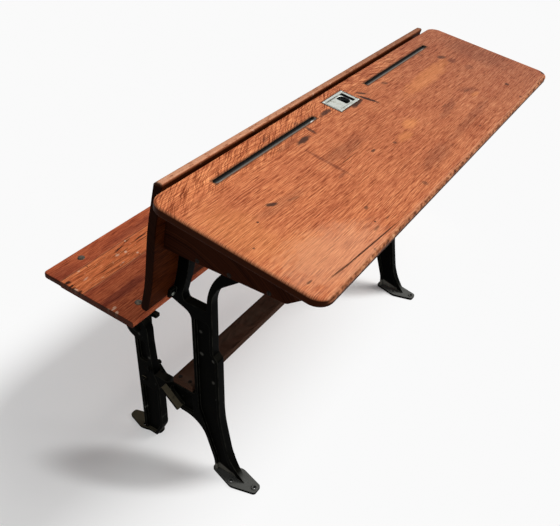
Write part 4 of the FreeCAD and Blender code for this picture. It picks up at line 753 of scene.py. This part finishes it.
def finished(shape, name):
    """Turn a shape into a mesh and free it."""
    mesh = bpy.data.meshes.new(name)
    shape.to_mesh(mesh)
    shape.free()
    return mesh


def smooth(shape):
    for face in shape.faces:
        face.smooth = True


FLAT_ANGLE = math.radians(0.4)
SHARP_ANGLE = math.radians(38.0)
EASE_STEPS = 2
STRAY_SHARE = 0.6
NORMAL_WEIGHT = 80


def dress(node, width):
    """A copy of a node whose sharp edges are eased, with the eased faces marked for rubbed paint and a
    painted highlight.
    """
    shape = merged(node)
    bmesh.ops.dissolve_limit(shape, angle_limit=FLAT_ANGLE, verts=shape.verts, edges=shape.edges)
    skin = BVHTree.FromBMesh(shape)
    edges = [edge for edge in shape.edges
             if len(edge.link_faces) == 2 and edge.calc_face_angle(0.0) > SHARP_ANGLE]
    result = bmesh.ops.bevel(shape, geom=edges, offset=width, offset_type="OFFSET", segments=EASE_STEPS,
                             profile=0.5, affect="EDGES", clamp_overlap=False, miter_outer="ARC",
                             loop_slide=False)
    # A corner that the bevel threw off the node's own skin goes back to it.
    for vert in shape.verts:
        spot, *_, stray = skin.find_nearest(vert.co)
        if stray > width * STRAY_SHARE:
            vert.co = spot
    edge_rub_and_highlight = shape.verts.layers.float.new("edge_rub_and_highlight")
    eased = set(result["faces"])
    for vert in shape.verts:
        vert[edge_rub_and_highlight] = 1.0 if eased.issuperset(vert.link_faces) else 0.0
    smooth(shape)
    mesh = finished(shape, node + "_dressed")
    piece = add_piece(node + "_dressed", mesh, MATERIALS[node], BODY_OF[node], (node,))
    normals = piece.modifiers.new("normals", "WEIGHTED_NORMAL")
    normals.keep_sharp = True
    normals.weight = NORMAL_WEIGHT


# Pieces whose edges are eased, with the width of the easing, and pieces that are shown as they are.
EASED = [(IRON_NODES, 0.0013),
         (("box_end_left", "box_end_right", "book_shelf", "stretcher_board"), 0.0016),
         (("inkwell_frame", "inkwell_slide"), 0.0003),
         (("seat_nuts", "joint_nuts", "seat_pivot_nuts"), 0.0005)]
PLAIN = ("desk_top", "backrest", "seat_board_rear", "seat_board_middle", "seat_board_front", "inkwell_cup")
for members, ease in EASED:
    for node in members:
        dress(node, ease)
for node in PLAIN:
    nodes[node].data.materials.clear()
    nodes[node].data.materials.append(MATERIALS[node])


def islands(node):
    """Vertices of each separate solid of a node."""
    shape = merged(node)
    left = set(shape.verts)
    groups = []
    while left:
        stack = [left.pop()]
        group = []
        while stack:
            vert = stack.pop()
            group.append(vert.co[:])
            for edge in vert.link_edges:
                other = edge.other_vert(vert)
                if other in left:
                    left.discard(other)
                    stack.append(other)
        groups.append(np.array(group))
    shape.free()
    return sorted(groups, key=lambda points: tuple(points.mean(0).round(4)))


# How near a point has to be to the shank's end, and to the axis or a plane, to count as on it.
END_REACH = 1e-5
NEAR_ZERO = 1e-7


def measure(points):
    """Where a screw's head sits, the way out of it, its shank's length and radius, and its head's radius."""
    middle = points.mean(0)
    axis = np.linalg.svd(points - middle)[2][0]
    along = (points - middle) @ axis
    radial = np.linalg.norm(points - middle - np.outer(along, axis), axis=1)
    if along[radial.argmax()] < 0.0:
        axis, along = -axis, -along
    seat = along[radial.argmax()]
    shank = radial[along < along.min() + END_REACH].max()
    return middle + axis * seat, axis, seat - along.min(), shank, radial.max()


def turned(shape, profile, matrix, steps):
    """Turn a profile of (radius, height) points about Z and add it to a shape."""
    rows = []
    for radius, height in profile:
        count = steps if radius > NEAR_ZERO else 1
        rows.append([shape.verts.new(matrix @ Vector((radius * math.cos(2 * math.pi * i / steps),
                                                      radius * math.sin(2 * math.pi * i / steps), height)))
                     for i in range(count)])
    for lower, upper in zip(rows, rows[1:]):
        for i in range(steps):
            after = (i + 1) % steps
            ring = [lower[i % len(lower)], lower[after % len(lower)], upper[after % len(upper)],
                    upper[i % len(upper)]]
            face = list(dict.fromkeys(ring))
            if len(face) > 2:
                shape.faces.new(face)


# A fastener's head: the share of its crown below the dome, the dome's angles, and the slot's wall and floor.
HEAD_STEPS = 28
RIM_SHARE = 0.3
DOME_ANGLES = (0.0, 0.3, 0.6, 0.9, 1.2, 1.4)
SLOT_WALL = 5e-5
SLOT_FLOOR = 0.25
SLOT_TURN = 2.4
SMOOTH_ANGLE = math.radians(35.0)


def one_fastener(length, shank, head, crown, slot):
    """A shank along -Z under a domed head, with a slot across the head where a slot's width is given."""
    shape = bmesh.new()
    rim = RIM_SHARE * crown
    dome = [(head * math.cos(angle), rim + (crown - rim) * math.sin(angle)) for angle in DOME_ANGLES]
    profile = [(0.0, -length), (shank, -length), (shank, 0.0), (head, 0.0), *dome, (0.0, crown)]
    turned(shape, profile, Matrix(), HEAD_STEPS)
    if slot:
        for offset in (-slot / 2 - SLOT_WALL, -slot / 2, slot / 2, slot / 2 + SLOT_WALL):
            geometry = list(shape.verts) + list(shape.edges) + list(shape.faces)
            bmesh.ops.bisect_plane(shape, geom=geometry, dist=NEAR_ZERO, plane_co=(offset, 0.0, 0.0),
                                   plane_no=(1.0, 0.0, 0.0))
        floor = SLOT_FLOOR * crown
        for vert in shape.verts:
            if abs(vert.co.x) < slot / 2 + SAME_POINT and vert.co.z > floor:
                vert.co.z = floor
    smooth(shape)
    return shape


def fasten(node, crown, slot):
    """Turned copies of a node's screws or bolts stand for them."""
    whole = bmesh.new()
    for number, points in enumerate(islands(node)):
        seat, axis, length, shank, head = measure(points)
        shape = one_fastener(length, shank, head, crown, slot)
        facing = Vector(axis).to_track_quat("Z", "Y").to_matrix().to_4x4()
        spin = Matrix.Rotation(SLOT_TURN * number, 4, "Z")
        shape.transform(Matrix.Translation(Vector(seat)) @ facing @ spin)
        one = finished(shape, "one")
        whole.from_mesh(one)
        bpy.data.meshes.remove(one)
    bmesh.ops.recalc_face_normals(whole, faces=whole.faces)
    mesh = finished(whole, node + "_turned")
    mesh.set_sharp_from_angle(angle=SMOOTH_ANGLE)
    add_piece(node + "_turned", mesh, MATERIALS[node], BODY_OF[node], (node,))


# Height of the crown and width of the slot of each kind of fastener; 0 is no slot.
WOOD_SCREW = (0.0012, 0.0013)
HEADS = {"top_screws": WOOD_SCREW, "shelf_screws": WOOD_SCREW, "box_end_screws": WOOD_SCREW,
         "stretcher_screws": WOOD_SCREW, "seat_screws": WOOD_SCREW, "backrest_screws": (0.0022, 0.0013),
         "inkwell_screws": (0.0005, 0.0005), "joint_bolts": (0.0028, 0.0022), "seat_bolts": (0.0024, 0.0),
         "seat_pivot_bolts": (0.0045, 0.0)}
for node, (head_crown, head_slot) in HEADS.items():
    fasten(node, head_crown, head_slot)

# Rings round the desk feet's screw holes: section as (radius, height), and where the holes are.
BOSS_SECTION = [(0.0038, 0.0070), (0.0038, 0.0094), (0.0046, 0.0100), (0.0062, 0.0100), (0.0074, 0.0092),
                (0.0080, 0.0070)]
BOSS_STEPS = 24
HOLE_SPREAD = 0.015
SIDE_HOLE_Y = -0.073 - MIDDLE_Y
TOE_HOLE_Y = -0.126 - MIDDLE_Y


def add_bosses():
    """Low rings round the floor screws' holes, cast on the desk's foot plates."""
    for side, name in ((-1, "left"), (1, "right")):
        desk = side * HALF_SPACING
        shape = bmesh.new()
        holes = ((desk - HOLE_SPREAD, SIDE_HOLE_Y), (desk + HOLE_SPREAD, SIDE_HOLE_Y), (desk, TOE_HOLE_Y))
        for x, y in holes:
            turned(shape, BOSS_SECTION, Matrix.Translation((x, y, 0.0)), BOSS_STEPS)
        smooth(shape)
        bmesh.ops.recalc_face_normals(shape, faces=shape.faces)
        mesh = finished(shape, f"desk_bosses_{name}")
        add_piece(f"desk_bosses_{name}", mesh, iron, "frame")


add_bosses()

# The photograph's camera, found from the top's corners and the legs. The focal length is in its pixels.
CAMERA_PLACE = (-1.1468, -0.66474, 1.2889)
CAMERA_RIGHT = Vector((0.551, -0.833, 0.0385))
CAMERA_AHEAD = Vector((0.681, 0.423, -0.598))
FOCAL_PIXELS = 670.4
PHOTO_WIDTH = 560.0
SENSOR_WIDTH = 36.0
CLIP_END = 60.0


def set_camera():
    """The photograph's viewpoint."""
    camera = bpy.data.objects.new("camera", bpy.data.cameras.new("camera"))
    bpy.context.scene.collection.objects.link(camera)
    right = CAMERA_RIGHT.normalized()
    back = -CAMERA_AHEAD.normalized()
    up = back.cross(right).normalized()
    right = up.cross(back)
    turn = Matrix((right, up, back)).transposed()
    camera.matrix_world = Matrix.Translation(CAMERA_PLACE) @ turn.to_4x4()
    camera.data.sensor_fit = "HORIZONTAL"
    camera.data.sensor_width = SENSOR_WIDTH
    camera.data.lens = FOCAL_PIXELS / PHOTO_WIDTH * SENSOR_WIDTH
    camera.data.clip_end = CLIP_END
    bpy.context.scene.camera = camera


def add_light(name, place, target, size, energy, colour):
    lamp = bpy.data.lights.new(name, "AREA")
    lamp.shape = "RECTANGLE"
    lamp.size, lamp.size_y = size
    lamp.energy = energy
    lamp.color = colour
    light = bpy.data.objects.new(name, lamp)
    bpy.context.scene.collection.objects.link(light)
    light.location = place
    light.rotation_euler = (Vector(target) - Vector(place)).to_track_quat("-Z", "Y").to_euler()


# Brightness of the surroundings that are seen, and of the dome that lights the desk: away from the
# key light, and on its side.
SKY = 0.955
FILL = (0.20, 0.52)
FILL_SPAN = (-0.5, 1.0)
KEY_SIDE = Vector((0.50, -0.52, 0.69)).normalized()


def seen_rays(tree):
    """1 for rays that show the background: those of the camera, of gloss and of glass."""
    path = tree.nodes.new("ShaderNodeLightPath")
    total = path.outputs["Is Camera Ray"]
    for kind in ("Is Glossy Ray", "Is Transmission Ray"):
        item = tree.nodes.new("ShaderNodeMath")
        item.operation = "MAXIMUM"
        tree.links.new(total, item.inputs[0])
        tree.links.new(path.outputs[kind], item.inputs[1])
        total = item.outputs[0]
    return total


def set_world():
    """White surroundings to look at; as light, a soft dome that is brighter on the key's side."""
    world = bpy.data.worlds.new("studio")
    bpy.context.scene.world = world
    world.use_nodes = True
    tree = world.node_tree
    tree.nodes.clear()
    place = tree.nodes.new("ShaderNodeTexCoord")
    side = tree.nodes.new("ShaderNodeVectorMath")
    side.operation = "DOT_PRODUCT"
    tree.links.new(place.outputs["Generated"], side.inputs[0])
    side.inputs[1].default_value = KEY_SIDE
    fill = tree.nodes.new("ShaderNodeMapRange")
    tree.links.new(side.outputs["Value"], fill.inputs["Value"])
    fill.inputs["From Min"].default_value, fill.inputs["From Max"].default_value = FILL_SPAN
    fill.inputs["To Min"].default_value, fill.inputs["To Max"].default_value = FILL
    strength = tree.nodes.new("ShaderNodeMapRange")
    tree.links.new(seen_rays(tree), strength.inputs["Value"])
    tree.links.new(fill.outputs[0], strength.inputs["To Min"])
    strength.inputs["To Max"].default_value = SKY
    sky = tree.nodes.new("ShaderNodeBackground")
    sky.inputs["Color"].default_value = (1.0, 1.0, 1.0, 1.0)
    tree.links.new(strength.outputs[0], sky.inputs["Strength"])
    out = tree.nodes.new("ShaderNodeOutputWorld")
    tree.links.new(sky.outputs[0], out.inputs["Surface"])


# The paper under the desk. It fades with the distance from a line under the desk, and towards the pupil's
# side, except in two pools of shadow, which are marks like those of the top.
FLOOR_HALF = 14.0
FLOOR_DROP = -0.0004
PAPER = ((0.90, 0.90, 0.90), (0.93, 0.93, 0.93))
LINE_MIDDLE = (-0.02, 0.12)
LINE_HALF = 0.43
FAR_FADE = (0.22, 0.58)
AHEAD_FADE = (0.34, -0.20)
FLOOR_SHADES = [(-0.53, 0.10, 0.20, 0.060, -63, 0.85), (0.355, -0.005, 0.13, 0.055, -57, 0.95)]
LEAST_FADE = 0.34


def add_floor():
    """Pale paper round the desk that fades into the white surroundings."""
    shape = bmesh.new()
    bmesh.ops.create_grid(shape, x_segments=1, y_segments=1, size=FLOOR_HALF)
    mesh = finished(shape, "floor")
    floor = bpy.data.objects.new("floor", mesh)
    bpy.context.scene.collection.objects.link(floor)
    floor.location = (0.0, 0.0, FLOOR_DROP)
    finish = Finish("floor_paper")
    place = finish.node("ShaderNodeTexCoord").outputs["Object"]
    mottle = finish.noise(place, (3.0, 3.0, 3.0), 2.0)
    finish.set(colour=finish.mix(mottle, *PAPER), roughness=0.9, specular=0.1)
    x, y = finish.split(place)[:2]
    line_x, line_y = LINE_MIDDLE
    beyond = finish.math("MAXIMUM", finish.math("SUBTRACT", finish.apart(x, line_x), LINE_HALF), 0.0)
    distance = finish.vector("LENGTH", finish.join(beyond, finish.math("SUBTRACT", y, line_y)))
    shade = finish.marks(place, 0.0, FLOOR_SHADES)
    ahead = finish.times(finish.span(y, *AHEAD_FADE, smooth=False), finish.math("SUBTRACT", 1.0, shade))
    least = finish.math("MULTIPLY_ADD", shade, -LEAST_FADE, LEAST_FADE)
    fade = finish.math("MAXIMUM", finish.span(distance, *FAR_FADE), finish.math("MAXIMUM", ahead, least))
    blend = finish.node("ShaderNodeMixShader", {"Fac": finish.times(fade, seen_rays(finish.tree))})
    white = finish.node("ShaderNodeEmission", {"Color": (1.0, 1.0, 1.0), "Strength": SKY})
    finish.tree.links.new(finish.shader.outputs["BSDF"], blend.inputs[1])
    finish.tree.links.new(white.outputs[0], blend.inputs[2])
    finish.tree.links.new(blend.outputs[0], finish.out.inputs["Surface"])
    mesh.materials.append(finish.material)


set_camera()
set_world()
add_floor()
add_light("key", place=(2.72, -2.93, 5.12), target=(0.0, 0.0, 0.40), size=(3.2, 3.2), energy=360.0,
          colour=(1.0, 0.985, 0.965))
bpy.context.scene.view_settings.view_transform = "Standard"
